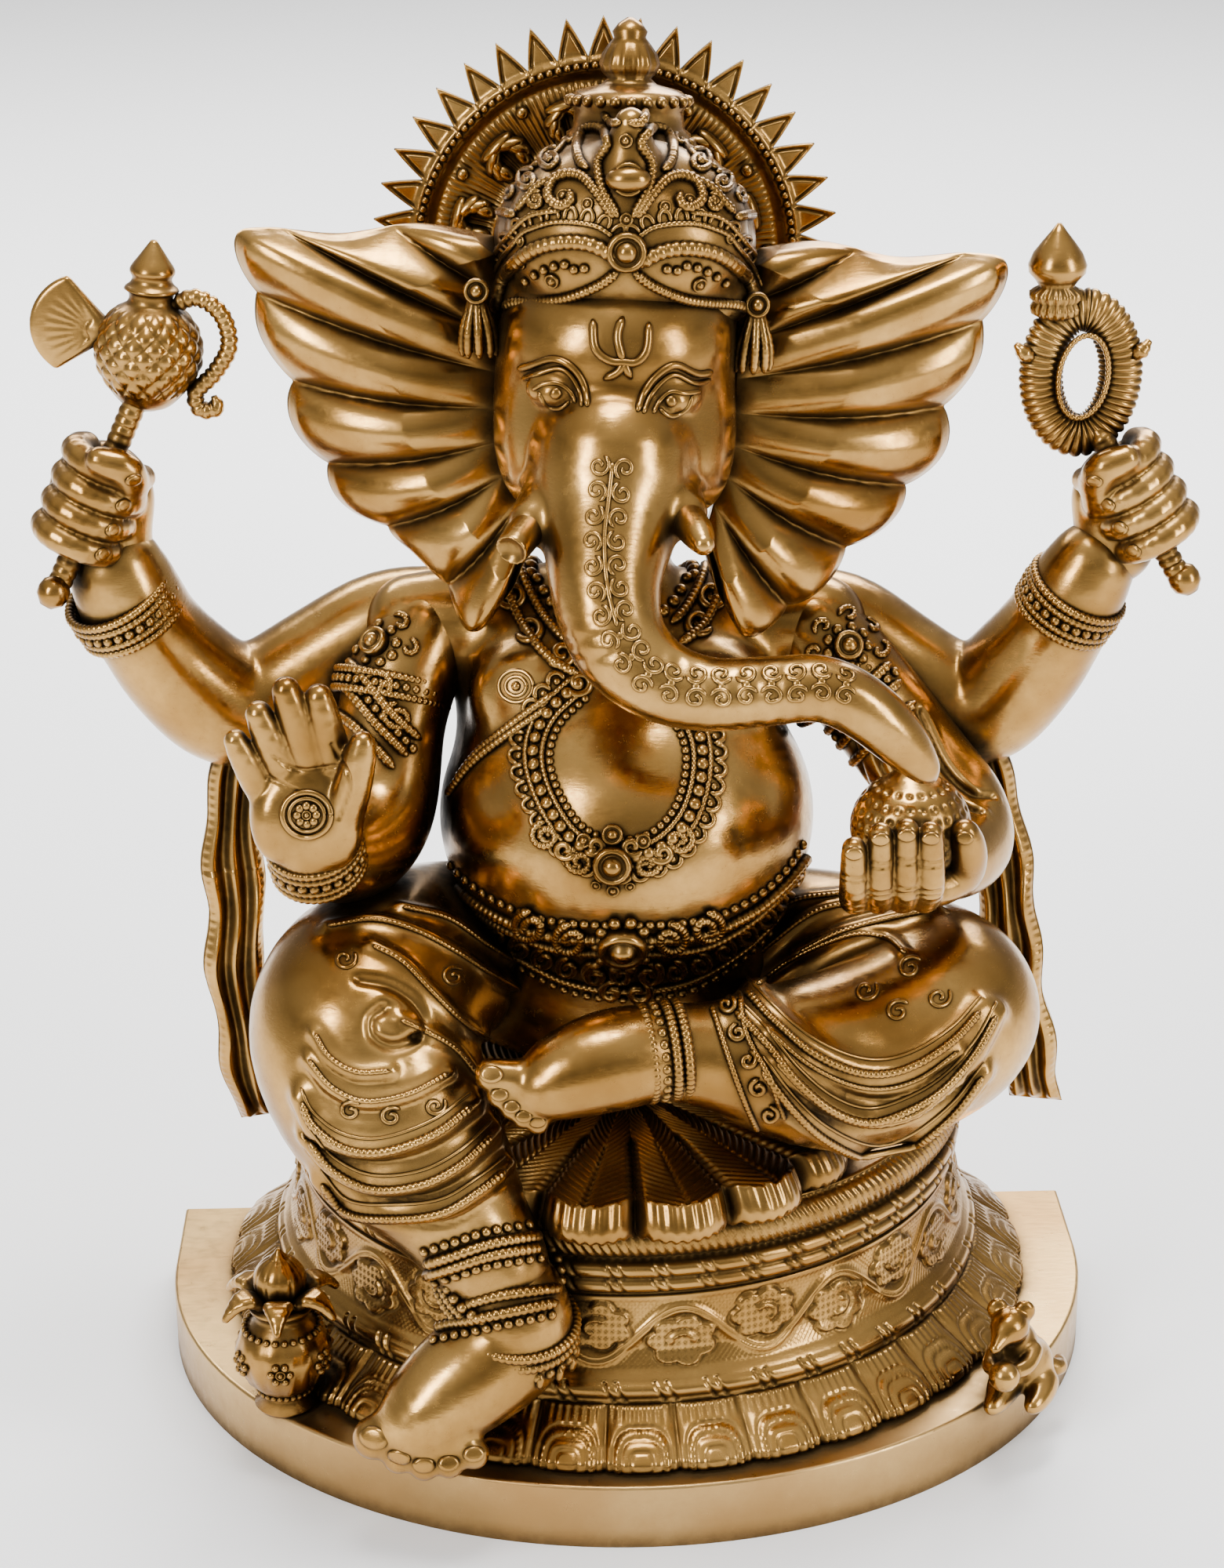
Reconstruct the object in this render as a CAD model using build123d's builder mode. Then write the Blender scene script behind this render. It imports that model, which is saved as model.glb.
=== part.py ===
from build123d import *
import os
from math import cos, pi, radians, sin

# Seated four-armed elephant-headed idol, cast in brass as separate pieces that are brazed and
# bolted together. Millimetres. +Z is up, the idol faces -Y, +X is on the viewer's right.
# "left" and "right" in names are the idol's own sides, so right_... lies on the -X side.
# The origin is the middle of the footprint, on the plane that the base stands on.

# ---------------------------------------------------------------- driving dimensions
BASE_X = 4.0  # middle of the base plate and pedestal
BASE_HALF_WIDTH = 266.0
BASE_FRONT = -154.0
BASE_BACK = 154.0
BASE_ARC_Y = 90.0  # where the straight sides turn into the half-elliptical front
DECK_Z = 37.0  # top of the base plate
SEAT_Z = 165.0  # top of the pedestal
PEDESTAL_Y = 88.0  # vertical axis of the pedestal's round front
PEDESTAL_BACK = 150.0
WALL = 4.0  # wall of the hollow castings
HALO_CENTRE = (-3.5, 110.0, 633.5)
HALO_TIP_RADIUS = 124.0
HALO_DISC_RADIUS = 104.0
HALO_RAYS = 40
CROWN_LEAN = 10.0  # degrees that the crown leans back

parts = {}  # the finished pieces, hollow where they are cast hollow
forms = {}  # their outer forms, which neighbours are trimmed to


# ---------------------------------------------------------------- shared shapes
def section_planes(points, first_x=(1, 0, 0)):
    """Planes square to a path, one per point, that don't twist along it."""
    planes = []
    x_axis = Vector(*first_x)
    for i, point in enumerate(points):
        before = points[max(i - 1, 0)]
        after = points[min(i + 1, len(points) - 1)]
        along = (after - before).normalized()
        x_axis = (x_axis - along * x_axis.dot(along)).normalized()
        planes.append(Plane(origin=point, x_dir=x_axis, z_dir=along))
    return planes


def limb(stations, first_x=(1, 0, 0)):
    """A smooth round or oval limb through stations (x, y, z, radius[, second radius])."""
    points = [Vector(*s[:3]) for s in stations]
    with BuildPart() as body:
        for plane, station in zip(section_planes(points, first_x), stations):
            with BuildSketch(plane):
                if len(station) == 4:
                    Circle(station[3])
                else:
                    Ellipse(station[3], station[4])
        loft()
    return body.part


def rod(start, end, radius):
    begin, stop = Vector(*start), Vector(*end)
    with BuildPart() as bar:
        with BuildSketch(Plane(origin=begin, z_dir=(stop - begin).normalized())):
            Circle(radius)
        extrude(amount=(stop - begin).length)
    return bar.part


def finger(start, bend, tip, radius):
    """A finger from its root over one bend to a rounded tip."""
    knuckle = radius + 0.3
    with BuildPart() as digit:
        add(rod(start, bend, radius))
        add(rod(bend, tip, radius - 0.4))
        with Locations(start, bend):
            Sphere(knuckle)
        with Locations(tip):
            Sphere(radius)
    return digit.part


def horizontal_loft(stations):
    """Loft through level ellipses (x, y, z, x radius, y radius)."""
    with BuildPart() as body:
        for x, y, z, rx, ry in stations:
            with BuildSketch(Plane((x, y, z))):
                Ellipse(rx, ry)
        loft()
    return body.part


def solids_of(part):
    """The solids of a part, without the slivers that a cut can leave."""
    solids = sorted(part.solids(), key=lambda s: s.volume, reverse=True)
    kept = [s for s in solids if s.volume > 0.02 * solids[0].volume]
    return Compound(children=kept) if len(kept) > 1 else kept[0]


def keep(name, form, cut_by=(), hollow=()):
    """Names a finished piece. It is trimmed to its neighbours' outer forms, then hollowed."""
    with BuildPart() as piece:
        add(form)
        for neighbour in cut_by:
            add(forms[neighbour], mode=Mode.SUBTRACT)
    forms[name] = solids_of(piece.part)
    with BuildPart() as casting:
        add(forms[name])
        for inside in hollow:
            add(inside, mode=Mode.SUBTRACT)
    parts[name] = solids_of(casting.part) if hollow else forms[name]
    parts[name].label = name


def ring_band(centre, axis, radius, band, height):
    """A band round a limb, from the limb's surface outwards, with rounded rims."""
    with BuildPart() as ring:
        with BuildSketch(Plane(origin=centre, z_dir=axis)):
            Circle(radius + band)
            Circle(radius, mode=Mode.SUBTRACT)
        extrude(amount=height / 2, both=True)
        outer = ring.edges().filter_by(GeomType.CIRCLE).sort_by(SortBy.RADIUS)[-2:]
        fillet(outer, radius=min(band, height) * 0.4)
    return ring.part


# ---------------------------------------------------------------- base and pedestal
def base_outline(inset):
    """The D of the base plate, drawn on the current sketch: straight back, oval front."""
    half = BASE_HALF_WIDTH - inset
    depth = BASE_ARC_Y - BASE_FRONT - inset
    straight = BASE_BACK - BASE_ARC_Y - inset
    with Locations((BASE_X, BASE_ARC_Y)):
        Ellipse(half, depth)
        Rectangle(3 * half, 2 * depth, align=(Align.CENTER, Align.MIN), mode=Mode.SUBTRACT)
        Rectangle(2 * half, straight, align=(Align.CENTER, Align.MIN))


def bolt_places():
    """Four bolts hold the pedestal to the deck's flange, just inside the pedestal's wall."""
    return [(BASE_X + sx * x, y) for sx in (-1, 1) for x, y in ((150, -38), (150, 132))]


def make_base_plate():
    """Shallow tray, open underneath, with a deck that is open inside the pedestal."""
    boss_radius, boss_hole, boss_height, well_radius = 11.0, 4.0, 10.0, 180.0
    ceiling = DECK_Z - WALL
    with BuildPart() as plate:
        with BuildSketch():
            base_outline(0)
        extrude(amount=DECK_Z)
        with BuildSketch():
            base_outline(WALL + 1)
        extrude(amount=ceiling, mode=Mode.SUBTRACT)
        add(pedestal_shape([(well_radius, ceiling - 1), (well_radius, DECK_Z + 1)], 32), mode=Mode.SUBTRACT)
        with BuildSketch(Plane.XY.offset(ceiling - boss_height)):
            with Locations(*bolt_places()):
                Circle(boss_radius)
        extrude(amount=boss_height)
        with BuildSketch(Plane.XY.offset(ceiling - boss_height)):
            with Locations(*bolt_places()):
                Circle(boss_hole)
        extrude(amount=WALL + boss_height, mode=Mode.SUBTRACT)
        rim = plate.edges().group_by(Axis.Z)[-1].filter_by(GeomType.ELLIPSE)
        fillet(rim, radius=2.0)
    keep("base_plate", plate.part)


def pedestal_shape(profile, inset=0.0):
    """Solid turned from (radius, z) profile points about the pedestal's axis, flat at the back."""
    low, high = profile[0][1], profile[-1][1]
    axis_plane = Plane(origin=(BASE_X, PEDESTAL_Y, 0), x_dir=(1, 0, 0), z_dir=(0, -1, 0))
    with BuildPart() as turned:
        with BuildSketch(axis_plane):
            with BuildLine():
                Polyline((0, high), (0, low), (profile[0][0], low))
                Spline(*profile) if len(profile) > 2 else Line(*profile)
                Line(profile[-1], (0, high))
            make_face()
        revolve(axis=Axis((BASE_X, PEDESTAL_Y, 0), (0, 0, 1)))
        cut = Plane(origin=(0, PEDESTAL_BACK - inset, 0), z_dir=(0, 1, 0))
        split(bisect_by=cut, keep=Keep.BOTTOM)
    return turned.part


def pedestal_tier(name, outer, inner, rolls=(), roof=0.0, cut_by=()):
    """One hollow tier: its outer form, its inner form and round mouldings (radius, z, size)."""
    low, high = inner[0][1], inner[-1][1]
    with BuildPart() as tier:
        add(pedestal_shape(outer))
        for radius, z, size in rolls:
            with BuildPart(mode=Mode.PRIVATE) as roll:
                with Locations((BASE_X, PEDESTAL_Y, z)):
                    Torus(radius, size)
                cut = Plane(origin=(0, PEDESTAL_BACK, 0), z_dir=(0, 1, 0))
                split(bisect_by=cut, keep=Keep.BOTTOM)
            add(roll.part)
    if roof:
        inner = [*inner[:-1], (inner[-1][0], high - roof)]
    keep(name, tier.part, cut_by, hollow=[pedestal_shape(inner, WALL)])


def make_pedestal():
    lotus_top, drum_top = 63.0, 120.0
    pedestal_tier(
        "lotus_petal_tier",
        [(231, DECK_Z), (224, 50), (206, lotus_top)],
        [(226, DECK_Z), (199, lotus_top)],
    )
    pedestal_tier(
        "engraved_drum",
        [(203, lotus_top), (198, 78), (191, 100), (189, drum_top)],
        [(197, lotus_top), (184, drum_top)],
        rolls=[(201, lotus_top + 7, 6.5)],
        cut_by=["lotus_petal_tier"],
    )
    pedestal_tier(
        "rope_moulding_seat",
        [(188, drum_top), (186, SEAT_Z)],
        [(181, drum_top), (178, SEAT_Z)],
        rolls=[(187, drum_top + 7.5, 4), (188, drum_top + 17, 4.5), (183, SEAT_Z - 11, 10)],
        roof=WALL,
        cut_by=["engraved_drum"],
    )


def make_pedestal_bolts():
    """M8 bolts from under the base plate into lugs that hang inside the lotus tier."""
    lug_top, lug_low = DECK_Z + 14.0, DECK_Z
    with BuildPart() as lugs:
        with BuildSketch(Plane.XY.offset(lug_low)):
            with Locations(*bolt_places()):
                Circle(12)
                Circle(4, mode=Mode.SUBTRACT)
        extrude(amount=lug_top - lug_low)
    keep("pedestal_lugs", lugs.part)
    head_low = DECK_Z - WALL - 10 - 5.5
    with BuildPart() as bolts:
        with BuildSketch(Plane.XY.offset(head_low)):
            with Locations(*bolt_places()):
                RegularPolygon(7.5, 6)
        extrude(amount=5.5)
        with BuildSketch(Plane.XY.offset(head_low + 5.5)):
            with Locations(*bolt_places()):
                Circle(4)
        extrude(amount=lug_top + 4 - head_low - 5.5)
    keep("pedestal_bolts", bolts.part)


def make_seat_cloth():
    """Scalloped cloth, cast as a low cushion with seven lobes over the front of the seat."""
    lobes, reach, lobe_radius = 7, 88.0, 24.0
    middle_x, middle_y = 2.0, -8.0
    top = 26.0
    with BuildPart() as cloth:
        with BuildSketch(Plane.XY.offset(SEAT_Z)):
            with Locations((middle_x, middle_y)):
                Circle(reach)
            for i in range(lobes):
                angle = radians(-150 + 120 * i / (lobes - 1))
                place = (middle_x + cos(angle) * (reach - 8), middle_y + sin(angle) * (reach - 8))
                with Locations(place):
                    Circle(lobe_radius - 4)
        extrude(amount=top, taper=22)
    return cloth.part


# ---------------------------------------------------------------- torso and head
TORSO = [
    (-1, 62, SEAT_Z, 92, 60),
    (-1, 56, 225, 98, 68),
    (-1, 38, 285, 97, 80),
    (-1, 26, 345, 91, 85),
    (-1, 38, 400, 84, 70),
    (-1, 50, 440, 86, 56),
    (-1, 54, 470, 66, 44),
    (-1, 50, 496, 36, 32),
]
NECK = ((-1, 50, 488), (-1, 36, 552), 29)
HEAD = [
    (2, 30, 672, 24, 28),
    (2, 28, 655, 46, 52),
    (0, 20, 622, 59, 66),
    (-2, 8, 590, 59, 66),
    (-4, -14, 562, 49, 52),
    (-7, -40, 541, 36, 36),
    (-9, -63, 524, 28, 28),
    (-9, -81, 505, 24, 24),
    (-3, -94, 486, 20.5, 20.5),
    (14, -102, 470, 17.5, 17.5),
    (39, -106, 463, 15.5, 15.5),
    (67, -107, 464, 14.5, 14.5),
    (93, -106, 463, 13.5, 13.5),
    (114, -103, 452, 13, 13),
    (131, -98, 434, 11, 11),
    (144, -93, 417, 4, 4),
]


def shrunk(stations, wall):
    return [(*s[:3], *(r - wall for r in s[3:])) for s in stations]


def make_torso():
    with BuildPart() as body:
        add(horizontal_loft(TORSO))
        for place in SHOULDERS.values():
            with Locations(place):
                Sphere(SHOULDER_RADIUS)
        add(rod(*NECK))
    cavity = [list(s) for s in shrunk(TORSO, WALL + 1)]
    cavity[0][2] += WALL
    cavity[-1][2] -= 2 * WALL
    keep("torso", body.part, hollow=[horizontal_loft(cavity)])


def make_head():
    keep("head_and_trunk", limb(HEAD), ["torso"], hollow=[limb(shrunk(HEAD[1:9], WALL))])
    right_tusk = limb([(-30, -46, 549, 9), (-42, -66, 542, 8), (-54, -86, 535, 6)])
    left_tusk = limb([(20, -46, 549, 9.5), (26, -67, 545, 8.5), (31, -88, 541, 7)])
    keep("right_tusk_stub", right_tusk, ["head_and_trunk"])
    keep("left_tusk", left_tusk, ["head_and_trunk"])


EAR_THICKNESS = 7.0
RIGHT_EAR = [
    (-56, 650), (-110, 656), (-191, 669), (-180, 612), (-172, 573), (-160, 545), (-146, 522),
    (-124, 505), (-106, 497), (-92, 474), (-80, 458), (-72, 478), (-60, 500), (-44, 528),
]
LEFT_EAR = [
    (66, 643), (120, 642), (198, 646), (186, 600), (170, 545), (156, 520), (140, 503),
    (124, 490), (110, 477), (88, 462), (67, 452), (60, 476), (50, 500), (36, 524),
]


def make_ear(name, outline, sweep):
    """A fan-shaped ear plate from its outline in X and Z, swept back by an angle."""
    root = Vector(outline[0][0], 12, 0)
    plane = Plane(origin=(root.X, root.Y, 0), x_dir=(cos(sweep), sin(sweep), 0),
                  z_dir=(sin(sweep), -cos(sweep), 0))
    with BuildPart() as ear:
        with BuildSketch(plane):
            with BuildLine():
                Polyline(*[((x - root.X) / cos(sweep), z) for x, z in outline], close=True)
            make_face()
        extrude(amount=EAR_THICKNESS / 2, both=True)
    keep(name, ear.part, ["head_and_trunk", "torso", "crown", "crown_plaque"])


# ---------------------------------------------------------------- crown and halo
CROWN_FOOT = Vector(3, 24, 640)


def crown_plane(height):
    """Level section of the crown at a height along its own leaning axis."""
    lean = radians(CROWN_LEAN)
    axis = Vector(0, sin(lean), cos(lean))
    return Plane(origin=CROWN_FOOT + axis * height, x_dir=(1, 0, 0), z_dir=axis)


def make_crown():
    skull = [(-30, 67, 78), (-8, 71, 80), (18, 63, 68), (36, 47, 50), (54, 31, 33)]
    shells = []
    for wall in (0, WALL):
        with BuildPart() as cap:
            for height, rx, ry in skull:
                with BuildSketch(crown_plane(height - wall)):
                    Ellipse(rx - wall, ry - wall)
            loft()
        shells.append(cap.part)
    with BuildPart() as drum:
        for low, high, radius in [(54, 62, 26), (62, 76, 28.5), (76, 80, 25)]:
            with BuildSketch(crown_plane(low)):
                Circle(radius)
            extrude(amount=high - low)
    brow_cut = Box(160, 90, 60, align=(Align.CENTER, Align.MAX, Align.MAX))
    brow_cut = Pos(0, -10, 622) * brow_cut
    form = shells[0] + drum.part - brow_cut
    keep("crown", form, ["head_and_trunk"], hollow=[shells[1]])

    with BuildPart() as finial:
        for low, high, radius in [(80, 84, 17), (84, 90, 10)]:
            with BuildSketch(crown_plane(low)):
                Circle(radius)
            extrude(amount=high - low)
        for height, radius in [(90, 9), (98, 12), (106, 10), (117, 3)]:
            with BuildSketch(crown_plane(height)):
                Circle(radius)
        loft()
    keep("crown_finial", finial.part)


def make_crown_plaque():
    """The pierced-looking frontal plaque that stands on the brow, before the crown's cap."""
    front = -56.0
    outline = [(-68, 622), (-66, 655), (-44, 690), (-22, 706), (-10, 724), (3, 738), (16, 724),
               (28, 706), (50, 688), (72, 652), (74, 616), (40, 634), (3, 626), (-36, 636)]
    with BuildPart() as plaque:
        plane = Plane(origin=(0, front, 0), x_dir=(1, 0, 0), z_dir=(0, -1, 0))
        with BuildSketch(plane):
            with BuildLine():
                Polyline(*outline, close=True)
            make_face()
        extrude(amount=6)
    keep("crown_plaque", plaque.part, ["head_and_trunk", "crown"])


def make_tassels():
    """Tassels that hang from the crown over the roots of the ears."""
    for name, x, y, top in [("right_crown_tassel", -69, -14, 628), ("left_crown_tassel", 74, -14, 622)]:
        with BuildPart() as tassel:
            for z, radius in [(top, 4), (top - 8, 6), (top - 40, 7), (top - 48, 5)]:
                with BuildSketch(Plane((x, y, z))):
                    Circle(radius)
            loft()
        with BuildPart() as tuft:
            for z, radius in [(top - 48, 6), (top - 56, 9), (top - 66, 8)]:
                with BuildSketch(Plane((x, y, z))):
                    Circle(radius)
            loft()
        keep(name, tassel.part + tuft.part, ["crown", "crown_plaque"])


def halo_plane(offset):
    """Plane of the halo, seen from the front, moved towards the viewer by offset."""
    x, y, z = HALO_CENTRE
    return Plane(origin=(x, y - offset, z), x_dir=(1, 0, 0), z_dir=(0, -1, 0))


def make_halo():
    plate, rim = 4.0, 3.0
    half_step = pi / HALO_RAYS
    points = []
    for i in range(2 * HALO_RAYS):
        reach = HALO_TIP_RADIUS if i % 2 == 0 else HALO_DISC_RADIUS
        points.append((reach * sin(i * half_step), reach * cos(i * half_step)))
    with BuildPart() as halo:
        with BuildSketch(halo_plane(0)):
            with BuildLine():
                Polyline(*points, close=True)
            make_face()
        extrude(amount=plate)
        with BuildSketch(halo_plane(plate)):
            Circle(HALO_DISC_RADIUS - 1)
            Circle(HALO_DISC_RADIUS - 5, mode=Mode.SUBTRACT)
        extrude(amount=rim)
        with BuildSketch(halo_plane(0)):
            Circle(4)
        extrude(amount=plate, mode=Mode.SUBTRACT)
    keep("halo", halo.part)

    leaves, ring_radius = 12, 78.0
    with BuildPart() as garland:
        with BuildSketch(halo_plane(plate)):
            with PolarLocations(ring_radius, leaves, start_angle=15):
                Ellipse(16, 12)
        extrude(amount=5)
    keep("halo_leaf_garland", garland.part)

    x, y, z = HALO_CENTRE
    stud_end = 72.0  # reaches the back of the skull
    with BuildPart() as stud:
        with BuildSketch(Plane(origin=(x, y + 16, z), z_dir=(0, -1, 0))):
            Circle(4)
        extrude(amount=y + 16 - stud_end)
    keep("halo_stud", stud.part, ["head_and_trunk", "crown"])
    with BuildPart() as spacer:
        with BuildSketch(halo_plane(plate)):
            Circle(11)
            Circle(4, mode=Mode.SUBTRACT)
        extrude(amount=y - plate - stud_end)
    keep("halo_spacer", spacer.part, ["head_and_trunk", "crown"])
    with BuildPart() as nut:
        with BuildSketch(Plane(origin=(x, y, z), x_dir=(-1, 0, 0), z_dir=(0, 1, 0))):
            RegularPolygon(8, 6)
            Circle(4, mode=Mode.SUBTRACT)
        extrude(amount=7)
    keep("halo_nut", nut.part)


# ---------------------------------------------------------------- arms and hands
SHOULDERS = {"right": (-98, 50, 446), "left": (96, 50, 442)}
SHOULDER_RADIUS = 30.0
# The two arms of a side part along a plane through this point, square to this direction.
ARM_PARTING = {"right": ((-118, 46, 428), (-0.62, 0.70, 0.35)), "left": ((118, 46, 424), (0.62, 0.70, 0.35))}
REAR_ARMS = {
    "right": [
        (-96, 60, 450, 22), (-128, 64, 440, 27), (-160, 63, 420, 29), (-188, 60, 404, 31),
        (-212, 53, 406, 32), (-232, 46, 424, 30), (-246, 38, 447, 26), (-254, 31, 466, 22),
    ],
    "left": [
        (94, 60, 446, 22), (124, 64, 436, 27), (152, 62, 416, 28), (176, 59, 400, 30),
        (198, 52, 400, 31), (217, 46, 418, 30), (231, 38, 440, 26), (239, 31, 459, 22),
    ],
}
FRONT_ARMS = {
    "right": [
        (-100, 46, 446, 22), (-113, 32, 420, 27), (-121, 20, 396, 28), (-127, 4, 370, 27),
        (-136, -20, 354, 26), (-149, -45, 354, 23), (-157, -62, 362, 20),
    ],
    "left": [
        (100, 46, 442, 22), (124, 38, 416, 28), (146, 30, 392, 29), (166, 18, 368, 28),
        (179, 2, 352, 26), (182, -18, 346, 22), (178, -38, 346, 19),
    ],
}


def make_arms():
    for side in ("right", "left"):
        origin, away = ARM_PARTING[side]
        parting = Plane(origin=origin, z_dir=away)
        for name, stations, half in [("front", FRONT_ARMS, Keep.BOTTOM), ("rear", REAR_ARMS, Keep.TOP)]:
            with BuildPart() as arm:
                add(limb(stations[side]))
                split(bisect_by=parting, keep=half)
            inside = limb(shrunk(stations[side][2:-1], WALL))
            keep(f"{side}_{name}_arm", arm.part, ["torso"], hollow=[inside])


# The stems run through the rear fists and carry what each hand holds.
EWER_STEM = ((-242.5, 18.4, 587), (-286, 8, 494))
NOOSE_STEM = ((250, 20, 552), (284, 10, 494))
STEM_RADIUS = 4.5


def make_rear_hands():
    right_palm = limb([(-254, 31, 466, 21, 20), (-262, 27, 486, 23, 17), (-268, 23, 510, 27, 18),
                       (-271, 20, 532, 24, 17), (-270, 18, 548, 12, 10)])
    left_palm = limb([(239, 31, 459, 21, 20), (248, 27, 480, 22, 17), (257, 23, 502, 25, 18),
                      (264, 20, 524, 23, 17), (266, 18, 541, 12, 10)])
    right_hand, left_hand = right_palm, left_palm
    for i in range(4):
        z, radius = 546 - i * 15, 8.5 - i * 0.4
        right_hand += finger((-292 + i, 16, z + 2), (-289, -6, z + 2), (-258 - i * 3, -6 - i, z - 8), radius)
        left_hand += finger((288 - i, 16, z - 4), (284, -6, z - 4), (252 + i * 3, -6 - i, z - 14), radius)
    right_hand += finger((-250, 24, 498), (-245, 6, 526), (-247, 2, 556), 8)
    left_hand += finger((244, 22, 494), (240, 6, 522), (243, 2, 556), 8)
    for name, hand, stem in [("right_rear_hand", right_hand, EWER_STEM), ("left_rear_hand", left_hand, NOOSE_STEM)]:
        hole = rod(*stem, STEM_RADIUS)
        keep(name, hand - hole, [name.replace("hand", "arm")])


def make_front_hands():
    right_hand = limb([(-157, -62, 362, 20, 19), (-160, -76, 374, 26, 16), (-162, -84, 396, 30, 13),
                       (-165, -86, 414, 27, 11), (-168, -86, 424, 22, 9)])
    for x, top, radius in [(-150, 464, 7), (-165, 463, 7), (-178, 452, 6.5), (-189, 438, 6)]:
        right_hand += finger((x, -86, 412), (x, -88, (412 + top) / 2), (x, -94, top), radius)
    right_hand += finger((-142, -84, 386), (-134, -90, 410), (-133, -93, 440), 8)
    keep("right_front_hand", right_hand, ["right_front_arm"])

    modak_centre = (144, -68, 376)
    with BuildPart() as modak:
        with Locations(modak_centre):
            Sphere(30)
    keep("modak", modak.part)
    left_hand = limb([(178, -38, 346, 19, 18), (170, -54, 340, 26, 13), (156, -72, 336, 30, 11),
                      (143, -90, 335, 29, 10), (138, -98, 336, 24, 8)])
    for x, top, radius in [(115, 368, 6.5), (129, 378, 7), (144, 380, 7), (159, 378, 6.5)]:
        left_hand += finger((x + 5, -88, 336), (x + 2, -103, 350), (x, -100, top), radius)
    left_hand += finger((178, -62, 342), (182, -80, 358), (178, -86, 380), 8)
    keep("left_front_hand", left_hand, ["modak", "left_front_arm"])

    cuff = ring_band((-150, -46, 354), (-0.25, -0.85, 0.3), 23, 12, 7)
    keep("right_sleeve_cuff", cuff, ["right_front_arm", "right_front_hand"])


def make_arm_rings():
    """Bangles hide the seams at the wrists, and flowered armlets sit on the upper arms."""
    right_dir = (-0.45, -0.35, 0.95)
    left_dir = (0.45, -0.35, 0.95)
    for name, centre, axis, hand in [
        ("right_wrist_bangle", (-253, 32, 464), right_dir, "right_rear"),
        ("left_wrist_bangle", (238, 32, 457), left_dir, "left_rear"),
    ]:
        keep(name, ring_band(centre, axis, 19, 11, 15), [hand + "_arm", hand + "_hand"])
    for name, centre, axis, arm in [
        ("right_armlet", (-119, 22, 404), (-0.2, -0.42, -0.9), "right"),
        ("left_armlet", (140, 33, 402), (0.6, -0.25, -0.8), "left"),
    ]:
        origin, away = ARM_PARTING[arm]
        with BuildPart() as band:
            add(ring_band(centre, axis, 26, 7, 24))
            split(bisect_by=Plane(origin=origin, z_dir=away), keep=Keep.BOTTOM)
        keep(name, band.part, [arm + "_front_arm"])


def make_ewer():
    """Pot with an axe blade for a spout and a scrolled handle, on a stem through the fist."""
    centre = Vector(-238, 22, 604)
    axis = Vector(0.1, 0, 1).normalized()
    profile = [(-26, 9), (-18, 19), (-4, 27), (8, 26), (20, 18), (26, 12)]
    with BuildPart() as pot:
        for height, radius in profile:
            with BuildSketch(Plane(origin=centre + axis * height, z_dir=axis)):
                Circle(radius)
        loft()
        for height, radius in [(26, 13), (32, 11)]:
            with BuildSketch(Plane(origin=centre + axis * height, z_dir=axis)):
                Circle(radius)
            extrude(amount=6)
    with BuildPart() as tip:
        for height, radius in [(36, 10), (42, 12.5), (50, 8), (58, 1.5)]:
            with BuildSketch(Plane(origin=centre + axis * height, z_dir=axis)):
                Circle(radius)
        loft()
    front = Plane(origin=(0, centre.Y - 3, 0), x_dir=(1, 0, 0), z_dir=(0, -1, 0))
    with BuildPart() as blade:
        with BuildSketch(front.offset(-6)):
            with BuildLine():
                Spline((-275, 646), (-292, 630), (-290, 606), (-286, 598))
                Polyline((-286, 598), (-268, 610), (-258, 606), (-258, 618), (-266, 622), (-275, 646))
            make_face()
        extrude(amount=6)
    with BuildPart() as handle:
        with BuildLine() as path:
            Spline((-222, 22, 614), (-206, 22, 631), (-189, 22, 624), (-188, 22, 604),
                   (-204, 22, 582), (-212, 22, 572))
        with BuildSketch(Plane(origin=path.line @ 0, z_dir=path.line % 0)):
            Circle(4)
        sweep()
    with BuildPart() as tail:
        add(limb([(-286, 8, 494, 5), (-291, 5, 484, 7, 4), (-299, 2, 474, 9, 4), (-304, 0, 464, 3, 2)]))
    stem = rod(*EWER_STEM, STEM_RADIUS)
    ewer = pot.part + tip.part + blade.part + handle.part + tail.part + stem
    keep("ewer_with_axe", ewer, ["right_rear_hand"])


def make_noose():
    """Ribbed noose with a cone on top and small horns, on a stem through the fist."""
    centre = Vector(237, 22, 588)
    with BuildPart() as loop:
        plane = Plane(origin=(centre.X, centre.Y + 7, centre.Z), x_dir=(1, 0, 0), z_dir=(0, -1, 0))
        with BuildSketch(plane):
            Ellipse(31, 42, rotation=-4)
            with Locations((4, -2)):
                Ellipse(11.5, 26, mode=Mode.SUBTRACT)
        extrude(amount=14)
        fillet(loop.edges(), radius=4)
        for x, z in [(-34, 6), (33, 12)]:
            with BuildSketch(plane.offset(4)):
                with Locations((x, z)):
                    RegularPolygon(8, 3, rotation=90)
            extrude(amount=6)
    with BuildPart() as cone:
        for height, radius in [(40, 12), (46, 13)]:
            with BuildSketch(Plane((224, 22, centre.Z + height - 4))):
                Circle(radius)
            extrude(amount=6)
    with BuildPart() as tip:
        for z, radius in [(634, 9), (645, 14), (656, 8), (665, 1.5)]:
            with BuildSketch(Plane((223, 22, z))):
                Circle(radius)
        loft()
    with BuildPart() as tail:
        add(rod((281, 11, 499), (291, 7, 482), 5.5))
        for place, radius in [((291, 7, 482), 7), ((296, 6, 477), 7.5), ((300, 5, 471), 5)]:
            with Locations(place):
                Sphere(radius)
    stem = rod(*NOOSE_STEM, STEM_RADIUS)
    keep("noose", loop.part + cone.part + tip.part + tail.part + stem, ["left_rear_hand"])


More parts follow.
